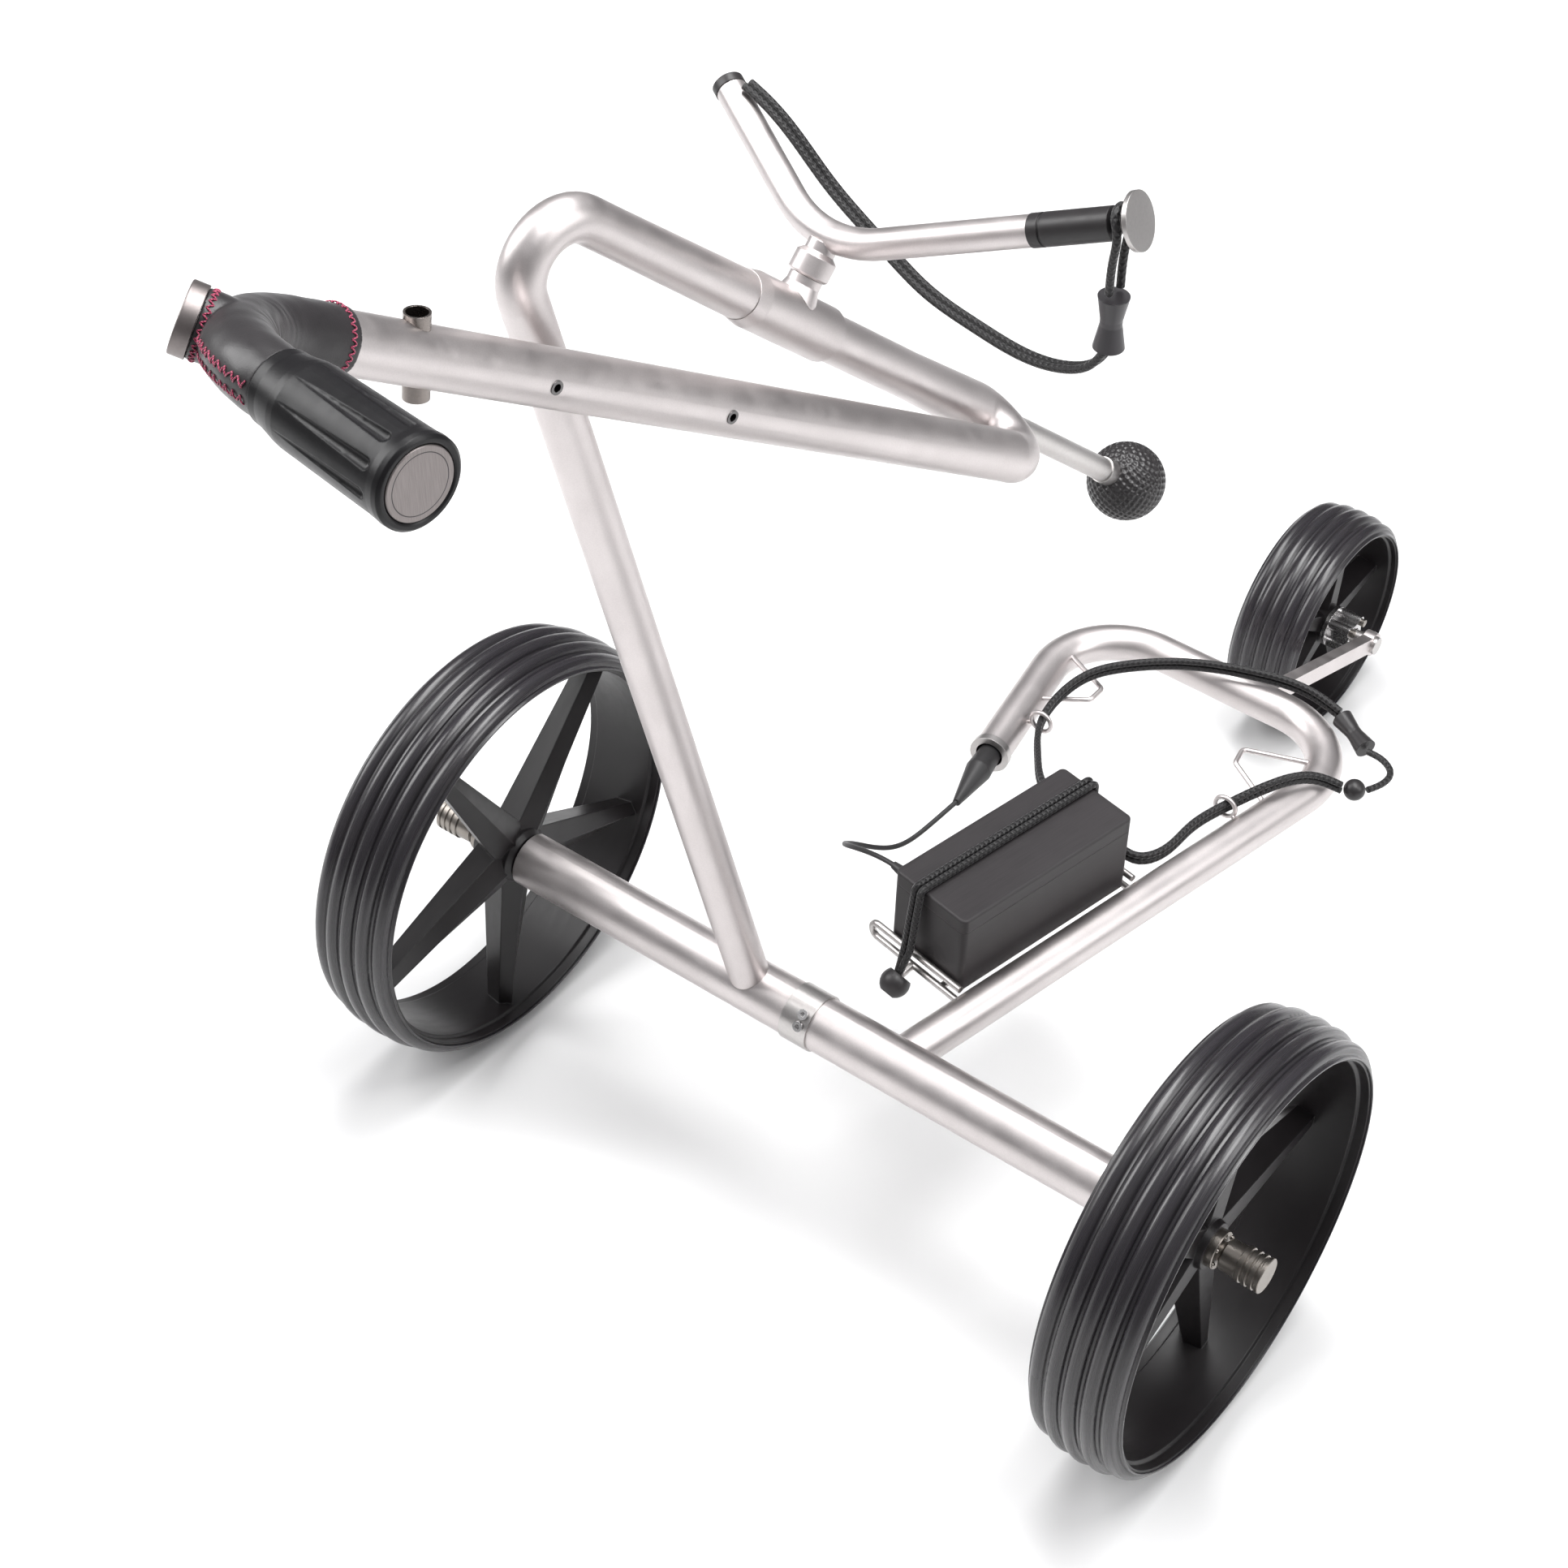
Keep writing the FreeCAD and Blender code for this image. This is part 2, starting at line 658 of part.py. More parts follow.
def motor_controller():
    """Circuit board with its heat sink, inside the right half of the axle."""
    board = Part.makeBox(44, 22, 1.6, vec(46, -11, AXLE_Z - 4))
    sink = Part.makeBox(26, 16, 8, vec(54, -8, AXLE_Z - 2.4))
    return board.fuse(sink)


CORD_R = 2.2


def lower_cord():
    """Elastic bag cord of the lower frame: a doubled run round the battery, and the front loop."""
    rounds = [
        vec(137, 358, 154), vec(122, 349, 160), vec(104, 326, 160), vec(87, 300, 151),
        vec(79, 270, 149), vec(76, 245, 146), vec(66, 229, 147), vec(45, 229, 151),
        vec(18, 231, 154), vec(-10, 240, 154), vec(-31, 264, 151), vec(-49.5, 296, 149),
        vec(-52, 322, 153), vec(-45, 346, 158), vec(-28, 368, 160), vec(0, 392, 160.5),
        vec(40, 411, 160.5), vec(78, 420, 158.5), vec(101, 418.5, 154.6),
    ]
    strands = []
    for rise in (-2.4, 2.4):
        lift = vec(0, 0, rise)
        strands.append(sweep(smooth_wire([p + lift for p in rounds]), CORD_R))
    bight = [
        vec(131, 402.6, 150), vec(141, 403, 149), vec(152, 396, 148),
        vec(153, 384, 148), vec(149, 372, 149),
    ]
    strands.append(sweep(smooth_wire(bight), CORD_R))
    return Part.makeCompound(strands)


def hourglass(start, end, end_r, waist_r):
    """A cord lock: two rounded ends and a waist."""
    along = end - start
    first = cone(start, start + along * 0.45, end_r, waist_r)
    middle = rod(start + along * 0.45, start + along * 0.55, waist_r)
    second = cone(start + along * 0.55, end, waist_r, end_r)
    return fused([first, middle, second])


def lower_cord_locks():
    """The cord lock at the front corner and the hook ball that closes the cord."""
    lock = hourglass(vec(103.6, 417.4, 153), vec(129, 404, 150.5), 7.0, 5.2)
    ball = Part.makeSphere(7.0, vec(143.6, 363.6, 152))
    return Part.makeCompound([lock, ball])


# ---------------------------------------------------------------- drawbar
DRAWBAR_FOOT = vec(COLUMN_X, 0, AXLE_Z)
FORWARD = vec(math.sin(math.radians(DRAWBAR_YAW)), math.cos(math.radians(DRAWBAR_YAW)), 0)
LATERAL = FreeCAD.Rotation(FORWARD, -DRAWBAR_SIDE_LEAN).multVec(FORWARD.cross(Z_AXIS))
UPWARD = LATERAL.cross(FORWARD)


def by_drawbar(forward, up, right=0.0):
    """A point in the drawbar's own plane, which leaves the axle at an angle and leans a little."""
    return DRAWBAR_FOOT + FORWARD * forward + UPWARD * up + LATERAL * right


def sloped(angle):
    """Forward and downward at an angle, in the drawbar's plane."""
    return FORWARD * math.cos(math.radians(angle)) - UPWARD * math.sin(math.radians(angle))


UP_TUBE = sloped(UPPER_SLOPE)
OFF_TUBE = LATERAL.cross(UP_TUBE)
SLEEVE_END = by_drawbar(SLEEVE_END_FORWARD, SLEEVE_END_UP)


def by_tube(along, off=0.0):
    """A point along the upper tube from the sleeve's open end, and off its top side."""
    return SLEEVE_END + UP_TUBE * along + OFF_TUBE * off


COLUMN_UP = UPWARD * math.cos(math.radians(COLUMN_LEAN)) - FORWARD * math.sin(math.radians(COLUMN_LEAN))
UPPER_TUBE_FLARE_AT = -183.0


def column_path():
    """From the axle up the leaning column, round the bend and down the upper tube into the sleeve."""
    climb = (SLEEVE_END - DRAWBAR_FOOT).dot(OFF_TUBE) / COLUMN_UP.dot(OFF_TUBE)
    corner = DRAWBAR_FOOT + COLUMN_UP * climb
    return bent_wire([DRAWBAR_FOOT, corner, by_tube(UPPER_TUBE_FLARE_AT)], [COLUMN_BEND_R])


def column_tube():
    """Column and upper tube in one; the tube widens towards the sleeve."""
    end = by_tube(-SLEEVE_LENGTH + SLEEVE_OVERLAP)
    flare = by_tube(UPPER_TUBE_FLARE_AT)
    bore_r = COLUMN_TUBE_R - COLUMN_TUBE_WALL
    end_bore_r = UPPER_TUBE_END_R - COLUMN_TUBE_WALL
    outer = sweep(column_path(), COLUMN_TUBE_R).fuse(column_outside())
    inner = sweep(column_path(), bore_r).fuse(cone(flare, end, bore_r, end_bore_r))
    tube = outer.cut(inner)
    return tube.cut(rod(vec(-110, 0, AXLE_Z), vec(-10, 0, AXLE_Z), AXLE_R))


def column_outside():
    """The solid outside of the upper tube's widened end."""
    end = by_tube(-SLEEVE_LENGTH + SLEEVE_OVERLAP)
    return cone(by_tube(UPPER_TUBE_FLARE_AT), end, COLUMN_TUBE_R, UPPER_TUBE_END_R)


def socket_sleeve():
    """Welded socket on the end of the column tube, with a chamfered upper rim."""
    top = by_tube(-SLEEVE_LENGTH)
    chamfer = by_tube(-SLEEVE_LENGTH + SLEEVE_TAPER)
    body = fused([
        cone(top, chamfer, UPPER_TUBE_END_R + 0.2, SLEEVE_R),
        rod(chamfer, SLEEVE_END, SLEEVE_R),
    ])
    body = body.cut(column_outside())
    body = body.cut(rod(by_tube(-SLEEVE_MOUTH), by_tube(1), SLEEVE_MOUTH_R))
    return body.cut(rod(by_tube(-SLEEVE_LENGTH + SLEEVE_OVERLAP), by_tube(1), INNER_TUBE_R + 0.07))


YOKE_AT = -33.4
YOKE_HEIGHT = 38.0
YOKE_JOINT = 23.0


STEM_R = 9.2
STEM_FOOT_R = 13.6


def yoke_stem():
    """Saddle boss on the sleeve, flaring into it, and the pin that the yoke turns on."""
    flare = cone(by_tube(YOKE_AT, 5), by_tube(YOKE_AT, 18.4), STEM_FOOT_R, STEM_R)
    boss = rod(by_tube(YOKE_AT, 5), by_tube(YOKE_AT, YOKE_JOINT - 0.2), STEM_R)
    pin = rod(by_tube(YOKE_AT, YOKE_JOINT - 0.2), by_tube(YOKE_AT, 38), 6.0)
    return fused([flare, boss, pin]).cut(rod(by_tube(-SLEEVE_LENGTH), SLEEVE_END, SLEEVE_R))


YOKE_TUBE_R = 8.3
COLLAR_R = 11.2
COLLAR_TOP = 34.0
YOKE_RISE = 27.0
YOKE_BEND_R = 72.0
YOKE_LEFT_ARM = 113.0
YOKE_RIGHT_ARM = 125.0
YOKE_SPOOL_LENGTH = 54.0
YOKE_NECK_LENGTH = 9.0


def yoke_arm(side, length):
    """A point on one arm of the yoke, measured from the V's corner."""
    rise = math.radians(YOKE_RISE)
    sideways = LATERAL * (side * length * math.cos(rise))
    return by_tube(YOKE_AT, YOKE_HEIGHT) + sideways + OFF_TUBE * (length * math.sin(rise))


def yoke_tube():
    """V-shaped bag support with its turning collar."""
    corner = by_tube(YOKE_AT, YOKE_HEIGHT)
    path = bent_wire([yoke_arm(-1, YOKE_LEFT_ARM), corner, yoke_arm(1, YOKE_RIGHT_ARM)], [YOKE_BEND_R])
    arms = sweep(path, YOKE_TUBE_R)
    foot = cone(by_tube(YOKE_AT, YOKE_JOINT), by_tube(YOKE_AT, YOKE_JOINT + 1.2), 9.8, COLLAR_R)
    collar = rod(by_tube(YOKE_AT, YOKE_JOINT + 1.2), by_tube(YOKE_AT, COLLAR_TOP), COLLAR_R)
    shoulder = cone(by_tube(YOKE_AT, COLLAR_TOP), by_tube(YOKE_AT, COLLAR_TOP + 2.5), COLLAR_R, 8.4)
    neck = rod(by_tube(YOKE_AT, COLLAR_TOP), by_tube(YOKE_AT, YOKE_HEIGHT + 4), 8.2)
    bore = rod(by_tube(YOKE_AT, YOKE_JOINT - 1), by_tube(YOKE_AT, 38.4), 6.0 + RUNNING_GAP)
    return fused([arms, foot, collar, shoulder, neck]).cut(bore)


def yoke_end_ring():
    return rod(yoke_arm(-1, YOKE_LEFT_ARM + 0.1), yoke_arm(-1, YOKE_LEFT_ARM + 5), YOKE_TUBE_R + 0.4)


def yoke_spool():
    """Black end piece of the right arm: grooved sleeve, then a neck for the cord loop."""
    start = YOKE_RIGHT_ARM + 0.1
    parts = [
        rod(yoke_arm(1, start), yoke_arm(1, start + 6), 8.7),
        rod(yoke_arm(1, start + 6), yoke_arm(1, start + 7.5), 8.0),
        rod(yoke_arm(1, start + 7.5), yoke_arm(1, start + YOKE_SPOOL_LENGTH - YOKE_NECK_LENGTH), 8.7),
        rod(yoke_arm(1, start + 7), yoke_arm(1, start + YOKE_SPOOL_LENGTH), 5.2),
    ]
    return fused(parts)


def yoke_disc():
    start = YOKE_RIGHT_ARM + 0.1 + YOKE_SPOOL_LENGTH
    return fused([
        cone(yoke_arm(1, start), yoke_arm(1, start + 2.5), 11.0, 15.0),
        rod(yoke_arm(1, start + 2.5), yoke_arm(1, start + 5), 15.0),
    ])


SPOOL_NECK = YOKE_RIGHT_ARM + 0.1 + YOKE_SPOOL_LENGTH - YOKE_NECK_LENGTH / 2.0
CORD_LOOP_R = 8.0
LOCK_RUN = 255.0
LOCK_LOW = -38.0
LOCK_HIGH = -8.0


def by_hang(run, rise, aside=0.0):
    """A point in the upright plane the bag cord hangs in, from the left arm's end towards the right."""
    start = yoke_arm(-1, YOKE_LEFT_ARM)
    across = yoke_arm(1, SPOOL_NECK) - start
    level = unit(vec(across.x, across.y, 0))
    return start + level * run + Z_AXIS * rise + level.cross(Z_AXIS) * aside


def upper_cord():
    """Doubled bag cord from the left arm to its lock, and the loop over the spool's neck."""
    hanging = [
        (11, 8.5), (20, 5.5), (36, -2), (70, -26), (107, -46), (138, -60), (172, -66),
        (205, -68), (232, -62), (247, -52), (LOCK_RUN - 1, LOCK_LOW - 2.6),
    ]
    strands = []
    for aside in (-2.4, 2.4):
        strands.append(sweep(smooth_wire([by_hang(run, rise, aside) for run, rise in hanging]), CORD_R))
    neck = yoke_arm(1, SPOOL_NECK)
    arm = unit(yoke_arm(1, 1.0) - yoke_arm(1, 0.0))
    side = unit(arm.cross(Z_AXIS))
    over = side.cross(arm)
    loop = [by_hang(LOCK_RUN, LOCK_HIGH + 3.2, 4.6), neck + side * CORD_LOOP_R - Z_AXIS * 16]
    for i in range(5):
        a = math.radians(45 * i)
        loop.append(neck + side * (CORD_LOOP_R * math.cos(a)) + over * (CORD_LOOP_R * math.sin(a)))
    loop.append(neck - side * CORD_LOOP_R - Z_AXIS * 16)
    loop.append(by_hang(LOCK_RUN, LOCK_HIGH + 3.2, -4.6))
    strands.append(sweep(smooth_wire(loop), CORD_R))
    return Part.makeCompound(strands)


def upper_cord_lock():
    return hourglass(by_hang(LOCK_RUN, LOCK_LOW), by_hang(LOCK_RUN, LOCK_HIGH), 8.2, 5.8)


# ---------------------------------------------------------------- handle
HANDLE_BACK = sloped(HANDLE_SLOPE) * -1.0
HANDLE_REF = by_drawbar(HANDLE_FORWARD, HANDLE_UP, HANDLE_OFFSET)
CORNER = HANDLE_REF + HANDLE_BACK * HANDLE_TO_CORNER
GRIP_ALONG = vec(
    math.cos(math.radians(GRIP_YAW)) * math.cos(math.radians(GRIP_PITCH)),
    math.sin(math.radians(GRIP_YAW)) * math.cos(math.radians(GRIP_PITCH)),
    math.sin(math.radians(GRIP_PITCH)))
CAP_OUT = unit(HANDLE_BACK - GRIP_ALONG)
SPINDLE_R = 13.0
SPINDLE_END = GRIP_END - 11.0


def by_grip(along):
    return CORNER + GRIP_ALONG * along


def hairpin_handle_end():
    """Where the handle tube's axis passes the hairpin, level with the end of the upper tube."""
    away = (by_tube(HAIRPIN_AT) - HANDLE_REF).dot(UP_TUBE) / HANDLE_BACK.dot(UP_TUBE)
    return HANDLE_REF + HANDLE_BACK * away


def hairpin_path():
    """Half circle from the end of the upper tube to the front end of the handle tube."""
    start = by_tube(HAIRPIN_AT)
    end = hairpin_handle_end()
    middle = (start + end) * 0.5
    return Part.Wire([Part.Arc(start, middle + UP_TUBE * ((end - start).Length / 2.0), end).toShape()])


def grip_path():
    """Axis of the handle tube, round the rear bend, to the start of the twist grip."""
    return bent_wire([hairpin_handle_end(), CORNER, by_grip(GRIP_START - 0.5)], [GRIP_BEND_R])


def bend_apex():
    half = HANDLE_BACK.getAngle(GRIP_ALONG) / 2.0
    return CORNER - CAP_OUT * (GRIP_BEND_R / math.cos(half) - GRIP_BEND_R)


CAP_INNER = 10.0
CAP_OUTER = 2.5


def handle_bar():
    """Inner tube, front hairpin, handle tube, rear bend and the spindle of the twist grip."""
    start = by_tube(-INNER_TUBE_INSERTION)
    bore = HANDLE_TUBE_R - HANDLE_TUBE_WALL
    solid = [
        rod(start, by_tube(HAIRPIN_AT - HAIRPIN_TAPER), INNER_TUBE_R),
        cone(by_tube(HAIRPIN_AT - HAIRPIN_TAPER), by_tube(HAIRPIN_AT), INNER_TUBE_R, HANDLE_TUBE_R),
        sweep(hairpin_path(), HANDLE_TUBE_R),
        Part.makeSphere(HANDLE_TUBE_R, hairpin_handle_end()),
        sweep(grip_path(), HANDLE_TUBE_R),
        rod(by_grip(GRIP_START - 1), by_grip(SPINDLE_END), SPINDLE_R),
        rod(bend_apex(), CORNER - CAP_OUT * CAP_INNER, 13.4),
    ]
    hollow = [
        rod(start, by_tube(HAIRPIN_AT), INNER_TUBE_R - 1.6),
        sweep(hairpin_path(), bore - 2.0),
        sweep(grip_path(), bore - 1.6),
        rod(by_grip(GRIP_START - 1), by_grip(SPINDLE_END + 1), 10.5),
        rod(by_tube(HAIRPIN_AT - 5), by_tube(HAIRPIN_AT + 60), LOCK_ROD_R + RUNNING_GAP),
    ]
    bar = fused(solid)
    for tool in hollow:
        bar = bar.cut(tool)
    bar = bar.cut(rod(UMBRELLA_FOOT - UMBRELLA_UP * 60, UMBRELLA_FOOT + UMBRELLA_UP * 60, UMBRELLA_R))
    for spot in INSERT_SPOTS:
        bar = bar.cut(rod(spot, spot + LATERAL * 30, INSERT_R))
    return bar


UMBRELLA_R = 6.4
UMBRELLA_BORE_R = 5.3
UMBRELLA_LENGTH = 43.0
UMBRELLA_UP = sloped(-83.0)
UMBRELLA_FOOT = HANDLE_REF + HANDLE_BACK * 360.0
INSERT_R = 3.6
INSERT_BORE_R = 2.1
INSERT_SPOTS = (
    HANDLE_REF + HANDLE_BACK * 152.9,
    HANDLE_REF + HANDLE_BACK * 281.4,
)


def umbrella_socket():
    """Open upright tube through the handle tube."""
    half = UMBRELLA_UP * (UMBRELLA_LENGTH / 2.0)
    return ring(UMBRELLA_FOOT - half, UMBRELLA_FOOT + half, UMBRELLA_R, UMBRELLA_BORE_R)


def accessory_inserts():
    """Two threaded inserts on the handle tube's right side."""
    inserts = []
    for spot in INSERT_SPOTS:
        inserts.append(ring(spot + LATERAL * 6.4, spot + LATERAL * 15.0, INSERT_R, INSERT_BORE_R))
    return Part.makeCompound(inserts)


def leather_cover():
    """Sewn leather sleeve round the rear bend."""
    start = CORNER - HANDLE_BACK * LEATHER_BEFORE_CORNER
    path = bent_wire([start, CORNER, by_grip(GRIP_START - 0.6)], [GRIP_BEND_R])
    outer = fused([
        sweep(path, HANDLE_TUBE_R + LEATHER_THICKNESS),
        rod(bend_apex(), CORNER - CAP_OUT * (CAP_INNER + 0.1), 15.4),
    ])
    inner_tube = sweep(grip_path(), HANDLE_TUBE_R)
    stub = rod(bend_apex(), CORNER, 13.4)
    return outer.cut(inner_tube).cut(stub)


def leather_end_cap():
    """Bright cap on the outside of the rear bend."""
    inner = CORNER - CAP_OUT * CAP_INNER
    outer = CORNER - CAP_OUT * CAP_OUTER
    cap = rod(inner, outer, 16.3)
    circles = [e for e in cap.Edges if e.Curve.TypeId == "Part::GeomCircle"]
    rim = [e for e in circles if e.Curve.Center.distanceToPoint(outer) < 0.1]
    return cap.makeFillet(0.8, rim)


FLUTES = 10
FLUTE_R = 3.4
FLUTE_TIP_R = 1.0


def throttle_grip():
    """Fluted rubber twist grip, with the recess that holds the end button."""
    profile = [
        (GRIP_START, SPINDLE_R + RUNNING_GAP), (GRIP_START, 17.2), (GRIP_START + 5, 17.4),
        (GRIP_START + 15, 19.2), (GRIP_START + 19, 19.6), (GRIP_END - 8, GRIP_R - 0.4),
        (GRIP_END - 4, GRIP_R), (GRIP_END - 1.2, GRIP_R - 0.2),
        (GRIP_END, GRIP_R - 1.6), (GRIP_END, 17.8), (GRIP_END - 0.8, 16.8), (GRIP_END - 5.7, 16.8),
        (GRIP_END - 5.7, 4.2), (SPINDLE_END + 0.6, 4.2), (SPINDLE_END + 0.6, SPINDLE_R + RUNNING_GAP),
    ]
    grip = spin(polyline(around_x(profile)), vec(0, 0, 0), X_AXIS)
    for i in range(FLUTES):
        a = math.radians(360.0 / FLUTES * i)
        start = vec(GRIP_START + 17, math.cos(a) * 20.6, math.sin(a) * 20.6)
        end = vec(GRIP_END - 12, math.cos(a) * 22.2, math.sin(a) * 22.2)
        grip = grip.cut(fused([cone(start, end, FLUTE_TIP_R, FLUTE_R), Part.makeSphere(FLUTE_R, end)]))
    return on_grip_axis(grip)


def on_grip_axis(shape):
    """Takes a shape drawn about the X axis to the grip's axis."""
    placed = shape.copy()
    placed.Placement = FreeCAD.Placement(CORNER, FreeCAD.Rotation(X_AXIS, GRIP_ALONG))
    return placed


def end_button():
    """Satin metal button in the end of the grip: press it to start and stop."""
    profile = [
        (GRIP_END - 25, 0), (GRIP_END - 25, 4), (GRIP_END - 3, 4), (GRIP_END - 3, 16.6),
        (GRIP_END - 0.5, 16.6), (GRIP_END - 0.1, 16.2), (GRIP_END - 0.1, 0),
    ]
    return on_grip_axis(spin(polyline(around_x(profile)), vec(0, 0, 0), X_AXIS))


def throttle_sensor():
    """Rotary sensor inside the grip's spindle."""
    return ring(by_grip(GRIP_START + 15), by_grip(GRIP_START + 29), 10.5, 4.6)


def guide_bush():
    """Split bush at the top of the inner tube; it slides in the sleeve and the wedge spreads it."""
    top = by_tube(-INNER_TUBE_INSERTION - 8)
    return ring(top, by_tube(-INNER_TUBE_INSERTION - 0.1), INNER_TUBE_R, GUIDE_BUSH_BORE_R)


def lock_rod():
    """Clamping rod through the inner tube: thin inside, thick outside, a step before the knob."""
    return fused([
        rod(by_tube(-INNER_TUBE_INSERTION - 17), by_tube(HAIRPIN_AT - 30), LOCK_THREAD_R),
        rod(by_tube(HAIRPIN_AT - 30), by_tube(BALL_AT - BALL_R - 7), LOCK_ROD_R),
        rod(by_tube(BALL_AT - BALL_R - 7), by_tube(BALL_AT - BALL_R + 6), LOCK_STEP_R),
    ])


def ball_knob():
    ball = Part.makeSphere(BALL_R, by_tube(BALL_AT))
    return ball.cut(rod(by_tube(BALL_AT - BALL_R - 5), by_tube(BALL_AT - BALL_R + 6), LOCK_STEP_R))


def lock_wedge():
    """Conical nut on the rod's inner end."""
    start = by_tube(-INNER_TUBE_INSERTION - 15)
    end = by_tube(-INNER_TUBE_INSERTION - 1)
    return cone(start, end, 9.4, 7.2).cut(rod(start, end, LOCK_THREAD_R + RUNNING_GAP))


# ---------------------------------------------------------------- build
PARTS = {
    "axle_tube_right": axle_tube_right,
    "axle_tube_left": axle_tube_left,
    "axle_spigot": axle_spigot,
    "axle_clamp_ring": axle_clamp_ring,
    "clamp_screws": clamp_screws,
    "lower_frame_tube": lower_frame_tube,
    "frame_end_socket": frame_end_socket,
    "battery_cradle": battery_cradle,
    "frame_wire_loops": frame_wire_loops,
    "front_strut": front_strut,
    "front_axle": front_axle,
    "battery_case": battery_case,
    "battery_lid": battery_lid,
    "battery_cells": battery_cells,
    "battery_strap": battery_strap,
    "strap_button": strap_button,
    "battery_cable": battery_cable,
    "lower_cord": lower_cord,
    "lower_cord_locks": lower_cord_locks,
    "motor_controller": motor_controller,
    "column_tube": column_tube,
    "socket_sleeve": socket_sleeve,
    "yoke_stem": yoke_stem,
    "yoke_tube": yoke_tube,
    "yoke_end_ring": yoke_end_ring,
    "yoke_spool": yoke_spool,
    "yoke_disc": yoke_disc,
    "upper_cord": upper_cord,
    "upper_cord_lock": upper_cord_lock,
    "guide_bush": guide_bush,
    "handle_bar": handle_bar,
    "umbrella_socket": umbrella_socket,
    "accessory_inserts": accessory_inserts,
    "leather_cover": leather_cover,
    "leather_end_cap": leather_end_cap,
    "throttle_grip": throttle_grip,
    "throttle_sensor": throttle_sensor,
    "end_button": end_button,
    "lock_rod": lock_rod,
    "ball_knob": ball_knob,
    "lock_wedge": lock_wedge,
    "front_rim": front_rim,
    "front_bearings": front_bearings,
    "front_hub_block": front_hub_block,
    "front_hub_bolts": front_hub_bolts,
}

SIDED_PARTS = {
    "gearmotor": gearmotor,
    "rotor": rotor,
    "axle_bearing": axle_bearing,
    "drive_shaft": drive_shaft,
    "release_knob": release_knob,
    "rear_tyre": rear_tyre,
}

RIM_PHASES = {"left": 48.0, "right": -5.0}

os.makedirs("parts", exist_ok=True)
for name, build in PARTS.items():
    save(name, build())
for name, build in SIDED_PARTS.items():
    save(name + "_left", build(-1))
    save(name + "_right", build(1))
for hand, phase in RIM_PHASES.items():
    save("rear_rim_" + hand, rear_rim(-1 if hand == "left" else 1, phase))
save("front_tyre", tyre(vec(0, WHEELBASE, FRONT_AXLE_Z), FRONT_WHEEL_R, 72.5, FRONT_TYRE_WIDTH, 5.0, 5))
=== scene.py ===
import json
import math

import bpy
import numpy as np
from mathutils import Matrix, Vector


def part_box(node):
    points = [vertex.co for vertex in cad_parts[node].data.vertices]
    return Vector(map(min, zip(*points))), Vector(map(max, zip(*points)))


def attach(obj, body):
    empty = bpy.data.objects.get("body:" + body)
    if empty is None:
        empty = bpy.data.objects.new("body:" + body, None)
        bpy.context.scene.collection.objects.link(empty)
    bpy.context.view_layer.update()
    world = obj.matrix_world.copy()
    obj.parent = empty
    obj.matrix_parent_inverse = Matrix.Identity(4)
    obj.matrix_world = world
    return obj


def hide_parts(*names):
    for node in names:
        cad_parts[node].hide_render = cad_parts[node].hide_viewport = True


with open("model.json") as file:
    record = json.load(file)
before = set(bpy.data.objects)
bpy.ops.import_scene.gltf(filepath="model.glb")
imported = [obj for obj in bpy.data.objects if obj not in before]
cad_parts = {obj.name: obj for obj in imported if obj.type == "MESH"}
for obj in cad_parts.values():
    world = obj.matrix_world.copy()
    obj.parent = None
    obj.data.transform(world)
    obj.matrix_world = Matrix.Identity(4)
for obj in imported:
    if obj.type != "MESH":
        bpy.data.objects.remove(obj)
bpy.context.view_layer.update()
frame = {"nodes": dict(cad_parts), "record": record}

NODES = frame["nodes"]
MM = 0.001

# ---------------------------------------------------------------- paths, in millimetres
CORD_R = 2.2
PAIR_GAP = 4.8

UPPER_CORD = [
    (-158.0, -21.0, 662.8), (-149.1, -21.8, 659.8), (-133.1, -23.2, 652.3), (-99.2, -26.1, 628.3),
    (-62.4, -29.2, 608.3), (-31.5, -31.9, 594.3), (2.4, -34.8, 588.3), (35.3, -37.6, 586.3),
    (62.2, -39.9, 592.3), (77.1, -41.2, 602.3), (84.1, -41.8, 613.7),
]
UPPER_LOOP = [
    (84.5, -48.8, 649.5), (86.7, -52.2, 672.9), (86.7, -52.2, 688.9),
    (84.1, -50.2, 694.1), (82.3, -44.8, 696.3), (82.2, -39.1, 694.1),
    (84.0, -36.4, 688.9), (84.0, -36.4, 672.9), (85.3, -39.7, 649.5),
]
LOWER_CORD = [
    (137.0, 224.5, 151.6), (122.0, 215.5, 157.6), (104.0, 192.5, 157.6), (87.0, 166.5, 148.6),
    (79.0, 136.5, 146.6), (76.0, 111.5, 143.6), (66.0, 95.5, 144.6), (45.0, 95.5, 148.6),
    (18.0, 97.5, 151.6), (-10.0, 106.5, 151.6), (-31.0, 130.5, 148.6), (-49.5, 162.5, 146.6),
    (-52.0, 188.5, 150.6), (-45.0, 212.5, 155.6), (-28.0, 234.5, 157.6), (0.0, 258.5, 158.1),
    (40.0, 277.5, 158.1), (78.0, 286.5, 156.1), (101.0, 285.0, 152.2),
]
FRONT_LOOP = [
    (131.0, 269.1, 150.0), (141.0, 269.5, 149.0), (152.0, 262.5, 148.0),
    (153.0, 250.5, 148.0), (149.0, 238.5, 149.0),
]
STRAP_CORNERS = [(3.4, -64.4, 156.0), (4.5, -58.8, 202.4), (33.4, 85.0, 202.4), (33.4, 85.0, 154.0)]
STRAP_BENDS = [8.0, 3.2, 3.2]
ASIDE_UPPER = (-0.4, -4.8, 0.0)
ASIDE_LOWER = (0.0, 0.0, PAIR_GAP)
ASIDE_STRAP = (4.7, -1.0, 0.0)
LEATHER_CORNERS = [(-94.5, -399.2, 733.1), (-109.2, -475.8, 782.0), (-36.9, -488.5, 784.8)]
LEATHER_BEND = 68.0
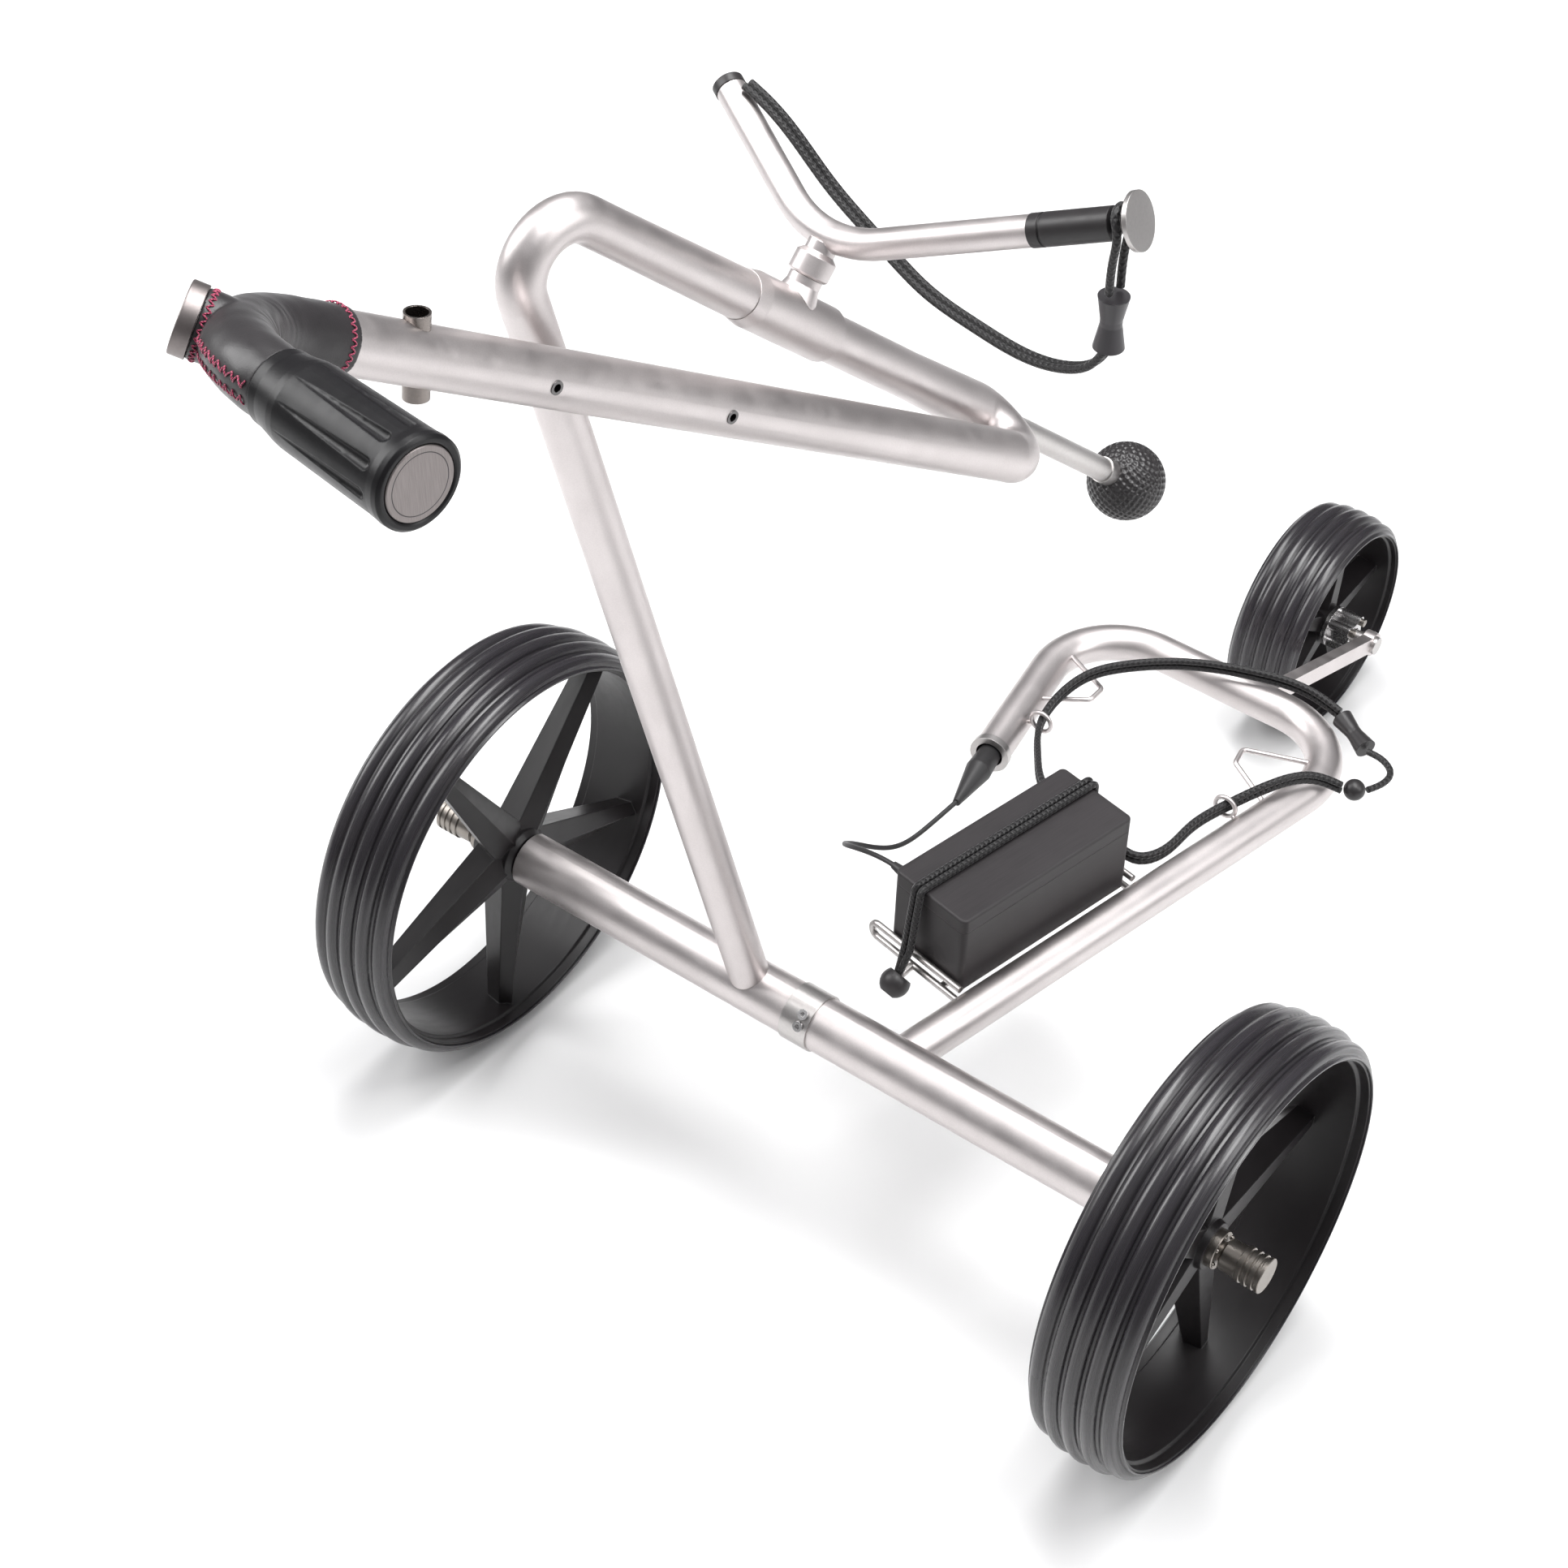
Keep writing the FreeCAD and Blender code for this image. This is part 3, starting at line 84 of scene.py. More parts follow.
# The dark ring in the mouth of the socket sleeve is a painted shadow for the gap there: its depth in the
# mouth, its ring radius and its half thickness.
MOUTH_DEPTH = 0.9
MOUTH_SHADOW_R = 13.85
MOUTH_SHADOW_HALF = 0.62

# ---------------------------------------------------------------- places and sizes, in metres
GRIP_AXIS = (0.98408, -0.17352, 0.03839)
DISC_CENTRE = (0.05084, -0.50397, 0.78825)
CAP_DIRECTION = (-0.81194, -0.46725, 0.3499)
BOSS_CENTRE = (-0.10106, -0.47109, 0.77851)
BATTERY_TURN = 11.35
DISC_RING_R = 0.0137
BRAID_WAVES = 1700.0
BRAID_YARNS = 4.0
BRAID_DEPTH = 0.035


def bends(knots, points):
    """Second derivatives of the natural cubic spline through the points."""
    gaps = np.diff(knots)
    count = len(knots)
    system = np.eye(count)
    right = np.zeros((count, 3))
    for i in range(1, count - 1):
        system[i, i - 1:i + 2] = gaps[i - 1], 2 * (gaps[i - 1] + gaps[i]), gaps[i]
        right[i] = 6 * ((points[i + 1] - points[i]) / gaps[i] - (points[i] - points[i - 1]) / gaps[i - 1])
    return np.linalg.solve(system, right)


def smooth_curve(points, pieces=24):
    """A smooth curve through the points, as a fine polyline."""
    p = np.array(points, float)
    knots = np.r_[0, np.cumsum(np.linalg.norm(np.diff(p, axis=0), axis=1))]
    bend = bends(knots, p)
    curve = []
    for i in range(len(p) - 1):
        gap = knots[i + 1] - knots[i]
        for t in np.linspace(0, 1, pieces, endpoint=False):
            s = 1 - t
            lift = ((s**3 - s) * bend[i] + (t**3 - t) * bend[i + 1]) * gap**2 / 6
            curve.append(s * p[i] + t * p[i + 1] + lift)
    curve.append(p[-1])
    return np.array(curve)


def unit(v):
    return v / np.linalg.norm(v)


def bent_curve(corners, radii, pieces=16):
    """Straight runs through the corners, with an arc of the given radius at each inner corner."""
    p = np.array(corners, float)
    curve = [p[0]]
    for i in range(1, len(p) - 1):
        back = unit(p[i - 1] - p[i])
        ahead = unit(p[i + 1] - p[i])
        half = math.acos(np.clip(back @ ahead, -1, 1)) / 2
        radius = radii[i - 1]
        centre = p[i] + unit(back + ahead) * radius / math.sin(half)
        first = unit(p[i] + back * radius / math.tan(half) - centre)
        last = unit(p[i] + ahead * radius / math.tan(half) - centre)
        for t in np.linspace(0, 1, pieces):
            angle = math.pi - 2 * half
            mixed = (first * math.sin((1 - t) * angle) + last * math.sin(t * angle)) / math.sin(angle)
            curve.append(centre + mixed * radius)
    curve.append(p[-1])
    return np.array(curve)


def even_steps(curve, step):
    """The same curve as evenly spaced points, and their distances along it."""
    run = np.r_[0, np.cumsum(np.linalg.norm(np.diff(curve, axis=0), axis=1))]
    even = np.linspace(0, run[-1], max(2, int(run[-1] / step)))
    return np.stack([np.interp(even, run, curve[:, k]) for k in range(3)], axis=1), even


# ---------------------------------------------------------------- node helpers
class Nodes:
    """A small helper that adds shader nodes to one material and links them."""

    def __init__(self, name):
        self.material = bpy.data.materials.new(name)
        self.material.use_nodes = True
        self.tree = self.material.node_tree
        self.tree.nodes.clear()
        self.output = self.tree.nodes.new("ShaderNodeOutputMaterial")
        self.shader = self.tree.nodes.new("ShaderNodeBsdfPrincipled")
        self.link(self.shader.outputs[0], self.output.inputs[0])

    def link(self, source, target):
        self.tree.links.new(source, target)

    def add(self, kind, **values):
        node = self.tree.nodes.new(kind)
        for key, value in values.items():
            setattr(node, key, value)
        return node

    def feed(self, socket, value):
        if isinstance(value, bpy.types.NodeSocket):
            self.link(value, socket)
        else:
            socket.default_value = value

    def place(self):
        return self.add("ShaderNodeTexCoord").outputs["Object"]

    def stretch(self, vector, scale, offset=(0, 0, 0)):
        node = self.add("ShaderNodeMapping")
        self.link(vector, node.inputs["Vector"])
        node.inputs["Scale"].default_value = scale
        node.inputs["Location"].default_value = offset
        return node.outputs[0]

    def noise(self, vector, scale, detail=4.0, rough=0.55):
        node = self.add("ShaderNodeTexNoise")
        self.link(vector, node.inputs["Vector"])
        node.inputs["Scale"].default_value = scale
        node.inputs["Detail"].default_value = detail
        node.inputs["Roughness"].default_value = rough
        return node.outputs["Fac"]

    def cells(self, vector, scale, feature="F1"):
        node = self.add("ShaderNodeTexVoronoi", feature=feature)
        self.link(vector, node.inputs["Vector"])
        node.inputs["Scale"].default_value = scale
        return node.outputs["Distance"]

    def math(self, operation, a, b=0.0):
        node = self.add("ShaderNodeMath", operation=operation)
        self.feed(node.inputs[0], a)
        self.feed(node.inputs[1], b)
        return node.outputs[0]

    def spread(self, value, low, high, out_low, out_high):
        node = self.add("ShaderNodeMapRange")
        self.feed(node.inputs["Value"], value)
        limits = {"From Min": low, "From Max": high, "To Min": out_low, "To Max": out_high}
        for socket, number in limits.items():
            node.inputs[socket].default_value = number
        return node.outputs[0]

    def mix(self, factor, a, b):
        node = self.add("ShaderNodeMix", data_type="RGBA")
        self.feed(node.inputs[0], factor)
        for socket, value in ((node.inputs[6], a), (node.inputs[7], b)):
            self.feed(socket, value if isinstance(value, bpy.types.NodeSocket) else tuple(value) + (1.0,))
        return node.outputs[2]

    def attribute(self, name):
        return self.add("ShaderNodeAttribute", attribute_name=name).outputs["Fac"]

    def bump(self, height, strength, distance, base=None):
        node = self.add("ShaderNodeBump")
        self.feed(node.inputs["Height"], height)
        node.inputs["Strength"].default_value = strength
        node.inputs["Distance"].default_value = distance
        if base is not None:
            self.link(base, node.inputs["Normal"])
        return node.outputs[0]

    def soft_edges(self, radius):
        node = self.add("ShaderNodeBevel", samples=4)
        node.inputs["Radius"].default_value = radius
        return node.outputs[0]

    def set(self, **values):
        for key, value in values.items():
            socket = self.shader.inputs[key.replace("_", " ")]
            if isinstance(value, tuple) and len(value) == 3:
                value = value + (1.0,)
            self.feed(socket, value)


def shade(base, amount):
    return tuple(min(1.0, c * amount) for c in base)


def metal(name, base, rough, edge=0.0006, grain=900.0, grain_depth=0.00002, blotch=0.08):
    """Bead-blasted or turned metal: cloudy tone, fine grain, rubbed patches."""
    n = Nodes(name)
    place = n.place()
    cloud = n.noise(place, 9.0, 5.0)
    fine = n.noise(place, grain, 3.0)
    rubbed = n.noise(n.stretch(place, (1.0, 1.0, 1.0), (3.1, 1.7, 0.4)), 34.0, 6.0, 0.7)
    tone = n.mix(n.spread(cloud, 0.3, 0.7, 0.0, 1.0), shade(base, 1.0 - blotch), shade(base, 1.0 + blotch))
    tone = n.mix(n.spread(fine, 0.35, 0.7, 0.0, 0.35), tone, shade(base, 0.82))
    patches = n.spread(rubbed, 0.3, 0.75, rough * 0.82, rough * 1.18)
    roughness = n.math("ADD", patches, n.spread(fine, 0, 1, -0.03, 0.03))
    normal = n.soft_edges(edge)
    n.set(Base_Color=tone, Metallic=1.0, Roughness=roughness)
    n.set(Normal=n.bump(fine, 0.35, grain_depth, n.bump(cloud, 0.12, 0.0002, normal)))
    return n.material


def moulded(name, base, rough, edge=0.0008, grain=700.0, grain_depth=0.00004, specular=0.5):
    """Moulded plastic or rubber: dusty bloom, fine spark-eroded texture, soft edges."""
    n = Nodes(name)
    place = n.place()
    cloud = n.noise(place, 14.0, 6.0, 0.6)
    fine = n.noise(place, grain, 4.0, 0.6)
    scuffs = n.noise(n.stretch(place, (40.0, 6.0, 18.0)), 6.0, 5.0, 0.65)
    tone = n.mix(n.spread(cloud, 0.3, 0.72, 0.0, 1.0), shade(base, 0.85), shade(base, 1.22))
    tone = n.mix(n.spread(scuffs, 0.66, 0.85, 0.0, 0.18), tone, shade(base, 1.9))
    roughness = n.spread(n.math("ADD", cloud, scuffs), 0.7, 1.3, rough * 0.88, rough * 1.15)
    normal = n.bump(fine, 0.5, grain_depth, n.soft_edges(edge))
    n.set(Base_Color=tone, Roughness=roughness, Normal=normal, Specular_IOR_Level=specular)
    return n.material


def brushed_case(name, base, rough):
    """Dark case with a lengthwise brushed sheen, lighter cloudy patches and fine specks."""
    n = Nodes(name)
    place = n.place()
    turned = n.add("ShaderNodeMapping")
    n.link(place, turned.inputs["Vector"])
    turned.inputs["Rotation"].default_value = (0, 0, math.radians(BATTERY_TURN))
    lines = n.noise(n.stretch(turned.outputs[0], (260.0, 9.0, 260.0)), 4.0, 4.0, 0.6)
    cloud = n.noise(place, 22.0, 5.0, 0.6)
    speck = n.cells(place, 900.0)
    tone = n.mix(n.spread(lines, 0.3, 0.7, 0.0, 1.0), shade(base, 0.78), shade(base, 1.3))
    tone = n.mix(n.spread(cloud, 0.45, 0.75, 0.0, 0.35), tone, shade(base, 1.5))
    n.set(Base_Color=tone, Specular_IOR_Level=0.45)
    n.set(Roughness=n.spread(lines, 0.2, 0.8, rough * 0.85, rough * 1.2))
    normal = n.bump(lines, 0.25, 0.00008, n.soft_edges(0.0012))
    n.set(Normal=n.bump(speck, 0.12, 0.00005, normal))
    return n.material


def tread(name, centre, radius):
    """Ribbed tyre rubber: grooves hold dust, ribs carry glossy streaks running round the wheel, painted
    lighter as a highlight.
    """
    n = Nodes(name)
    place = n.place()
    split = n.add("ShaderNodeSeparateXYZ")
    n.link(n.stretch(place, (1, 1, 1), tuple(-c for c in centre)), split.inputs[0])
    x, y, z = split.outputs
    around = n.math("ARCTAN2", z, y)
    reach = n.math("SQRT", n.math("ADD", n.math("MULTIPLY", y, y), n.math("MULTIPLY", z, z)))
    join = n.add("ShaderNodeCombineXYZ")
    n.link(n.math("MULTIPLY", x, 900.0), join.inputs[0])
    n.link(n.math("MULTIPLY", around, 1.3), join.inputs[1])
    n.link(n.math("MULTIPLY", reach, 260.0), join.inputs[2])
    streak = n.noise(join.outputs[0], 1.0, 4.0, 0.6)
    grain = n.noise(place, 650.0, 4.0, 0.6)
    cloud = n.noise(place, 26.0, 5.0, 0.6)
    depth = n.spread(reach, radius - 0.0052, radius - 0.0022, 0.0, 1.0)
    base = (0.0100, 0.0088, 0.0108)
    # The lighter colour along the streaks is painted highlight for the gloss streaks on the ribs; their lower
    # roughness below is real gloss.
    tone = n.mix(n.spread(streak, 0.35, 0.75, 0.0, 1.0), base, (0.030, 0.027, 0.032))
    tone = n.mix(n.spread(cloud, 0.5, 0.75, 0.0, 0.3), tone, (0.040, 0.036, 0.036))
    n.set(Base_Color=tone, Specular_IOR_Level=0.6)
    dull = n.spread(streak, 0.35, 0.68, 0.40, 0.17)
    n.set(Roughness=n.math("SUBTRACT", dull, n.math("MULTIPLY", depth, 0.03)))
    normal = n.bump(streak, 0.45, 0.00022, n.soft_edges(0.0009))
    n.set(Normal=n.bump(grain, 0.3, 0.00006, normal))
    return n.material


def braid(name, base, shine):
    """Braided elastic cord: two sets of yarns crossing round the cord, from run and turn, with painted shade
    between the yarns and painted highlight on their crowns.
    """
    n = Nodes(name)
    lengthwise = n.math("MULTIPLY", n.attribute("run"), BRAID_WAVES)
    crosswise = n.math("MULTIPLY", n.attribute("turn"), BRAID_YARNS)
    first = n.math("SINE", n.math("ADD", lengthwise, crosswise))
    second = n.math("SINE", n.math("SUBTRACT", lengthwise, crosswise))
    weave = n.math("MAXIMUM", first, second)
    fuzz = n.noise(n.place(), 2200.0, 3.0, 0.7)
    patch = n.noise(n.place(), 45.0, 4.0)
    # Darker colour where the weave dips between yarns is painted shade; lighter colour on the raised yarns is
    # painted highlight.
    tone = n.mix(n.spread(weave, 0.2, 1.0, 0.0, 1.0), shade(base, 0.45), shade(base, 1.5))
    tone = n.mix(n.spread(patch, 0.4, 0.7, 0.0, 0.3), tone, shade(base, 2.1))
    n.set(Base_Color=tone, Roughness=n.spread(fuzz, 0.2, 0.8, shine, shine + 0.16))
    n.set(Sheen_Weight=0.25, Sheen_Roughness=0.35)
    n.set(Normal=n.bump(fuzz, 0.3, 0.00005, n.bump(weave, 0.8, 0.00025)))
    return n.material


def end_disc(name):
    """Satin turned disc with a thin engraved ring just inside its edge, the ring painted dark as shade in its
    groove.
    """
    n = Nodes(name)
    split = n.add("ShaderNodeVectorMath", operation="SUBTRACT")
    n.link(n.place(), split.inputs[0])
    split.inputs[1].default_value = DISC_CENTRE
    crossing = n.add("ShaderNodeVectorMath", operation="CROSS_PRODUCT")
    n.link(split.outputs[0], crossing.inputs[0])
    crossing.inputs[1].default_value = GRIP_AXIS
    length = n.add("ShaderNodeVectorMath", operation="LENGTH")
    n.link(crossing.outputs[0], length.inputs[0])
    reach = length.outputs["Value"]
    gap = n.math("ABSOLUTE", n.math("SUBTRACT", reach, DISC_RING_R))
    line = n.spread(gap, 0.00012, 0.00030, 1.0, 0.0)
    turning = n.noise(n.stretch(split.outputs[0], (30.0, 900.0, 30.0)), 3.0, 3.0)
    tone = n.mix(n.spread(turning, 0.3, 0.7, 0.0, 1.0), (0.21, 0.188, 0.184), (0.27, 0.245, 0.24))
    # The ring's dark colour is painted shade in the engraved groove.
    n.set(Base_Color=n.mix(line, tone, (0.05, 0.048, 0.05)))
    n.set(Metallic=0.8, Roughness=n.spread(turning, 0, 1, 0.34, 0.44))
    n.set(Normal=n.bump(line, -0.4, 0.0002, n.soft_edges(0.0004)))
    return n.material


def leather(name):
    """Smooth charcoal leather: fine pebbled grain, creases on the inside of the bend, cloudy tone."""
    n = Nodes(name)
    place = n.place()
    pebble = n.cells(place, 1500.0, "SMOOTH_F1")
    crease = n.noise(n.stretch(place, (1.0, 1.3, 1.0)), 130.0, 7.0, 0.65)
    cloud = n.noise(place, 28.0, 5.0, 0.6)
    inside = n.attribute("inside")
    base = (0.019, 0.017, 0.0185)
    tone = n.mix(n.spread(cloud, 0.35, 0.7, 0.0, 1.0), shade(base, 0.75), shade(base, 1.35))
    # Darker colour where the crease noise is high is painted shade in the creases, across the whole cover.
    tone = n.mix(n.spread(crease, 0.55, 0.7, 0.0, 0.35), tone, shade(base, 0.45))
    n.set(Base_Color=tone, Specular_IOR_Level=0.5, Sheen_Weight=0.12, Sheen_Roughness=0.35)
    dull = n.spread(cloud, 0.3, 0.7, 0.43, 0.34)
    n.set(Roughness=n.math("SUBTRACT", dull, n.math("MULTIPLY", inside, 0.03)))
    wrinkle = n.math("MULTIPLY", crease, n.math("ADD", inside, 0.25))
    n.set(Normal=n.bump(pebble, 0.30, 0.00010, n.bump(wrinkle, 0.55, 0.0006)))
    return n.material


def thread(name):
    """Dull red waxed thread with a visible twist, painted darker in the grooves of the twist as shade and
    lighter on its crowns as highlight.
    """
    n = Nodes(name)
    twist = n.math("SINE", n.math("ADD", n.math("MULTIPLY", n.attribute("run"), 5200.0), n.attribute("turn")))
    fuzz = n.noise(n.place(), 2600.0, 3.0)
    # Darker colour in the grooves of the twist is painted shade; lighter colour on its crowns is painted
    # highlight.
    tone = n.mix(n.spread(twist, -0.6, 0.8, 0.0, 1.0), (0.22, 0.012, 0.045), (0.50, 0.045, 0.13))
    n.set(Base_Color=tone, Roughness=n.spread(fuzz, 0, 1, 0.45, 0.65), Sheen_Weight=0.3)
    n.set(Normal=n.bump(twist, 0.7, 0.0001))
    return n.material


TITANIUM = (0.64, 0.60, 0.595)
MATERIALS = {
    "titanium": metal("titanium_satin", TITANIUM, 0.44, grain=1400.0, blotch=0.04),
    "polished": metal(
        "polished_steel", (0.55, 0.53, 0.52), 0.36, grain=600.0, grain_depth=0.000008, blotch=0.04),
    "steel": metal("machined_steel", (0.30, 0.275, 0.25), 0.36, edge=0.00012),
    "socket_steel": metal("socket_steel", (0.24, 0.215, 0.20), 0.30, edge=0.0003),
    "bright_steel": metal("bright_steel", (0.62, 0.61, 0.61), 0.26, edge=0.0003),
    "dark_steel": metal("dark_steel", (0.16, 0.155, 0.155), 0.34, edge=0.0003),
    "chrome": metal("chrome_cap", (0.25, 0.225, 0.22), 0.46, grain=500.0, grain_depth=0.000004, blotch=0.03),
    "battery": brushed_case("battery_case_charcoal", (0.022, 0.019, 0.0205), 0.46),
    "cells": moulded("cell_sleeve", (0.10, 0.20, 0.30), 0.35),
    "rubber": moulded("rubber_satin", (0.018, 0.016, 0.017), 0.42, grain=900.0),
    "cable": moulded("cable_rubber", (0.020, 0.019, 0.020), 0.45, grain=900.0),
    "cordlock": moulded("cord_lock_grey", (0.040, 0.037, 0.041), 0.36, grain=800.0),
    "board": moulded("circuit_board", (0.03, 0.12, 0.05), 0.4),
    "plastic": moulded("inner_plastic", (0.07, 0.07, 0.07), 0.45),
    "grip": moulded("grip_rubber", (0.0060, 0.0056, 0.0066), 0.34, edge=0.0010, grain=1300.0, specular=0.30),
    "button": end_disc("button_satin"),
    "knob": moulded("knob_charcoal", (0.022, 0.020, 0.021), 0.27, grain=900.0),
    "rim": moulded(
        "rim_black", (0.0100, 0.0086, 0.0094), 0.38,
        edge=0.0011, grain=1000.0, grain_depth=0.00002, specular=0.34),
    "copper": metal("wound_copper", (0.55, 0.28, 0.16), 0.35),
    "leather": leather("leather_charcoal"),
    "thread": thread("stitch_thread"),
    "cord": braid("cord_black", (0.0065, 0.0058, 0.0065), 0.40),
}


def paint(obj, material):
    obj.data.materials.clear()
    obj.data.materials.append(material)


slots = {p["node"]: p["material_slot"] for p in frame["record"]["subparts"]}
for node, obj in NODES.items():
    if slots[node] in MATERIALS:
        paint(obj, MATERIALS[slots[node]])

paint(NODES["umbrella_socket"], MATERIALS["socket_steel"])
paint(NODES["lower_cord_locks"], MATERIALS["rubber"])
for node in ("front_hub_block", "clamp_screws"):
    paint(NODES[node], MATERIALS["bright_steel"])
for hand in ("left", "right"):
    paint(NODES["release_knob_" + hand], MATERIALS["steel"])

for node in ("rear_tyre_left", "rear_tyre_right", "front_tyre"):
    low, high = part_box(node)
    paint(NODES[node], tread(node + "_rubber", tuple((low + high) / 2), (high.z - low.z) / 2))


# ---------------------------------------------------------------- mesh helpers
def to_mesh(name, points, faces, body, material):
    mesh = bpy.data.meshes.new(name)
    mesh.from_pydata([tuple(p) for p in points], [], faces)
    mesh.update()
    mesh.polygons.foreach_set("use_smooth", [True] * len(mesh.polygons))
    obj = bpy.data.objects.new(name, mesh)
    bpy.context.scene.collection.objects.link(obj)
    paint(obj, material)
    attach(obj, body)
    return obj


STEADY_SIDE = (0.13, 0.31, 1.0)


def frames(path):
    """Tangent and two steady sideways directions at each point of a path."""
    along = np.gradient(path, axis=0)
    along /= np.linalg.norm(along, axis=1)[:, None]
    side = np.cross(along[0], STEADY_SIDE)
    side /= np.linalg.norm(side)
    sides = []
    for t in along:
        side = side - t * side.dot(t)
        side /= np.linalg.norm(side)
        sides.append(side.copy())
    sides = np.array(sides)
    return along, sides, np.cross(along, sides)


def tube(name, curve, radius, body, material, step=1.0, around=14, profile=None):
    """A round piece along a path. profile(run, turn, length) gives a factor on the radius."""
    path, run = even_steps(curve * MM, step * MM)
    along, u, v = frames(path)
    turns = np.linspace(0, 2 * math.pi, around, endpoint=False)
    vertices, runs, angles, faces = [], [], [], []
    for i in range(len(path)):
        for turn in turns:
            factor = profile(run[i] / MM, turn, run[-1] / MM) if profile else 1.0
            r = radius * MM * factor
            vertices.append(path[i] + (u[i] * math.cos(turn) + v[i] * math.sin(turn)) * r)
            runs.append(run[i])
            angles.append(turn)
    for i in range(len(path) - 1):
        for j in range(around):
            k = (j + 1) % around
            faces.append((i * around + j, i * around + k, (i + 1) * around + k, (i + 1) * around + j))
    faces.append(tuple(range(around))[::-1])
    faces.append(tuple((len(path) - 1) * around + j for j in range(around)))
    obj = to_mesh(name, vertices, faces, body, material)
    add_values(obj, "run", runs)
    add_values(obj, "turn", angles)
    return obj


def add_values(obj, name, values):
    attribute = obj.data.attributes.new(name, "FLOAT", "POINT")
    attribute.data.foreach_set("value", np.array(values, np.float32))


# ---------------------------------------------------------------- cords and strap
def braided(run, turn, length):
    """Factor on a cord's radius, in small bumps where its yarns cross. The shader's braid matches it."""
    lengthwise = run * BRAID_WAVES * MM
    crosswise = turn * BRAID_YARNS
    return 1.0 + BRAID_DEPTH * math.sin(lengthwise + crosswise) * math.sin(lengthwise - crosswise)


def cord(name, curve, body, replaced=None):
    obj = tube(name, curve, CORD_R, body, MATERIALS["cord"], 0.7, 16, braided)
    if replaced:
        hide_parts(replaced)


def strap_curve(aside):
    """From the middle of the button, up the battery's near face, over its top and down behind."""
    low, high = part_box("strap_button")
    corners = [np.array(low + high) / 2 / MM]
    corners += [np.add(corner, aside) for corner in STRAP_CORNERS]
    return bent_curve(corners, STRAP_BENDS)


def mouth_shadow_ring():
    """A thin dark ring in the mouth of the socket sleeve, round the sliding tube: a painted shadow standing
    in for the shade in the gap there.
    """
    swing = next(j for j in frame["record"]["behaviour"]["joints"] if j["name"] == "handle_swing")
    axis = -unit(np.array(swing["axis"], float))
    centre = np.array(swing["pos_m"]) / MM - axis * MOUTH_DEPTH
    side = unit(np.cross(axis, (1.0, 0.0, 0.0)))
    other = np.cross(axis, side)
    turns = np.linspace(0, 2 * math.pi, 97)
    ring = np.array([centre + (side * math.cos(a) + other * math.sin(a)) * MOUTH_SHADOW_R for a in turns])
    tube("sleeve_mouth_shadow_ring", ring, MOUTH_SHADOW_HALF, "drawbar", MATERIALS["rubber"], 0.9, 10)


upper_run = smooth_curve(UPPER_CORD)
lower_run = smooth_curve(LOWER_CORD)
# A dark ring standing in for the shadow in the sleeve's mouth.
mouth_shadow_ring()
cord("upper_cord_near", upper_run, "yoke", "upper_cord")
cord("upper_cord_far", upper_run + ASIDE_UPPER, "yoke")
cord("upper_cord_loop", smooth_curve(UPPER_LOOP), "yoke")
cord("lower_cord_low", lower_run, "chassis", "lower_cord")
cord("lower_cord_high", lower_run + ASIDE_LOWER, "chassis")
cord("lower_cord_front_loop", smooth_curve(FRONT_LOOP), "chassis")
cord("battery_strap_left", strap_curve((0.0, 0.0, 0.0)), "chassis", "battery_strap")
cord("battery_strap_right", strap_curve(ASIDE_STRAP), "chassis")


# ---------------------------------------------------------------- ball knob
DIMPLES = 520
DIMPLE_HALF_ANGLE = 0.078
DIMPLE_DEPTH = 0.032
GOLDEN_ANGLE = math.pi * (3 - math.sqrt(5))


def dimpled_ball():
    """The knob is covered in shallow round dimples, evenly spread."""
    low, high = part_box("ball_knob")
    centre = (low + high) / 2
    radius = (high.z - low.z) / 2
    bpy.ops.mesh.primitive_ico_sphere_add(subdivisions=7, radius=1.0, location=(0, 0, 0))
    ball = bpy.context.object
    ball.name = ball.data.name = "ball_knob_dimpled"
    co = np.array([v.co for v in ball.data.vertices])
    k = np.arange(DIMPLES) + 0.5
    z = 1 - 2 * k / DIMPLES
    a = k * GOLDEN_ANGLE
    spots = np.stack([np.sqrt(1 - z * z) * np.cos(a), np.sqrt(1 - z * z) * np.sin(a), z], axis=1)
    nearest = np.clip((co @ spots.T).max(axis=1), -1, 1)
    gap = np.arccos(nearest)
    dip = np.clip(1 - (gap / DIMPLE_HALF_ANGLE) ** 2, 0, 1) * DIMPLE_DEPTH
    co = co * (1 - dip)[:, None] * radius + np.array(centre)
    ball.data.vertices.foreach_set("co", co.astype(np.float32).ravel())
    ball.data.polygons.foreach_set("use_smooth", [True] * len(ball.data.polygons))
    paint(ball, MATERIALS["knob"])
    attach(ball, "lock_rod")
    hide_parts("ball_knob")


dimpled_ball()


# ---------------------------------------------------------------- leather cover
BATCH = 20000
SKIN_VOXEL = 0.0007
OUTER_SKIN_R = 0.0154
CREASE_PLACE = 0.62
CREASE_SPAN = 0.055
CREASE_DEPTH = 0.00022
RIPPLE_DEPTH = 0.00018
THREAD_R = 0.00040
THREAD_SIDES = 6
STITCH_STEPS = 6
STITCH_HEIGHT = 0.0007
STITCH_SINK = 0.00015
STITCH_R = 0.0163
RING_WIDTH = 0.0030
FRONT_RING_PLACE = 0.0045
CAP_RING_R = 0.0153
CAP_RING_BACK = 0.0030
ROW_TILTS = (8.0, 33.0)
ROW_WIDTH = 0.0038
ROW_PITCH = 0.0021
ROW_START = 0.022
ROW_END_GAP = 0.0015
BOSS_CLEAR_R = 0.0152
BOSS_CLEAR_DEPTH = 0.022


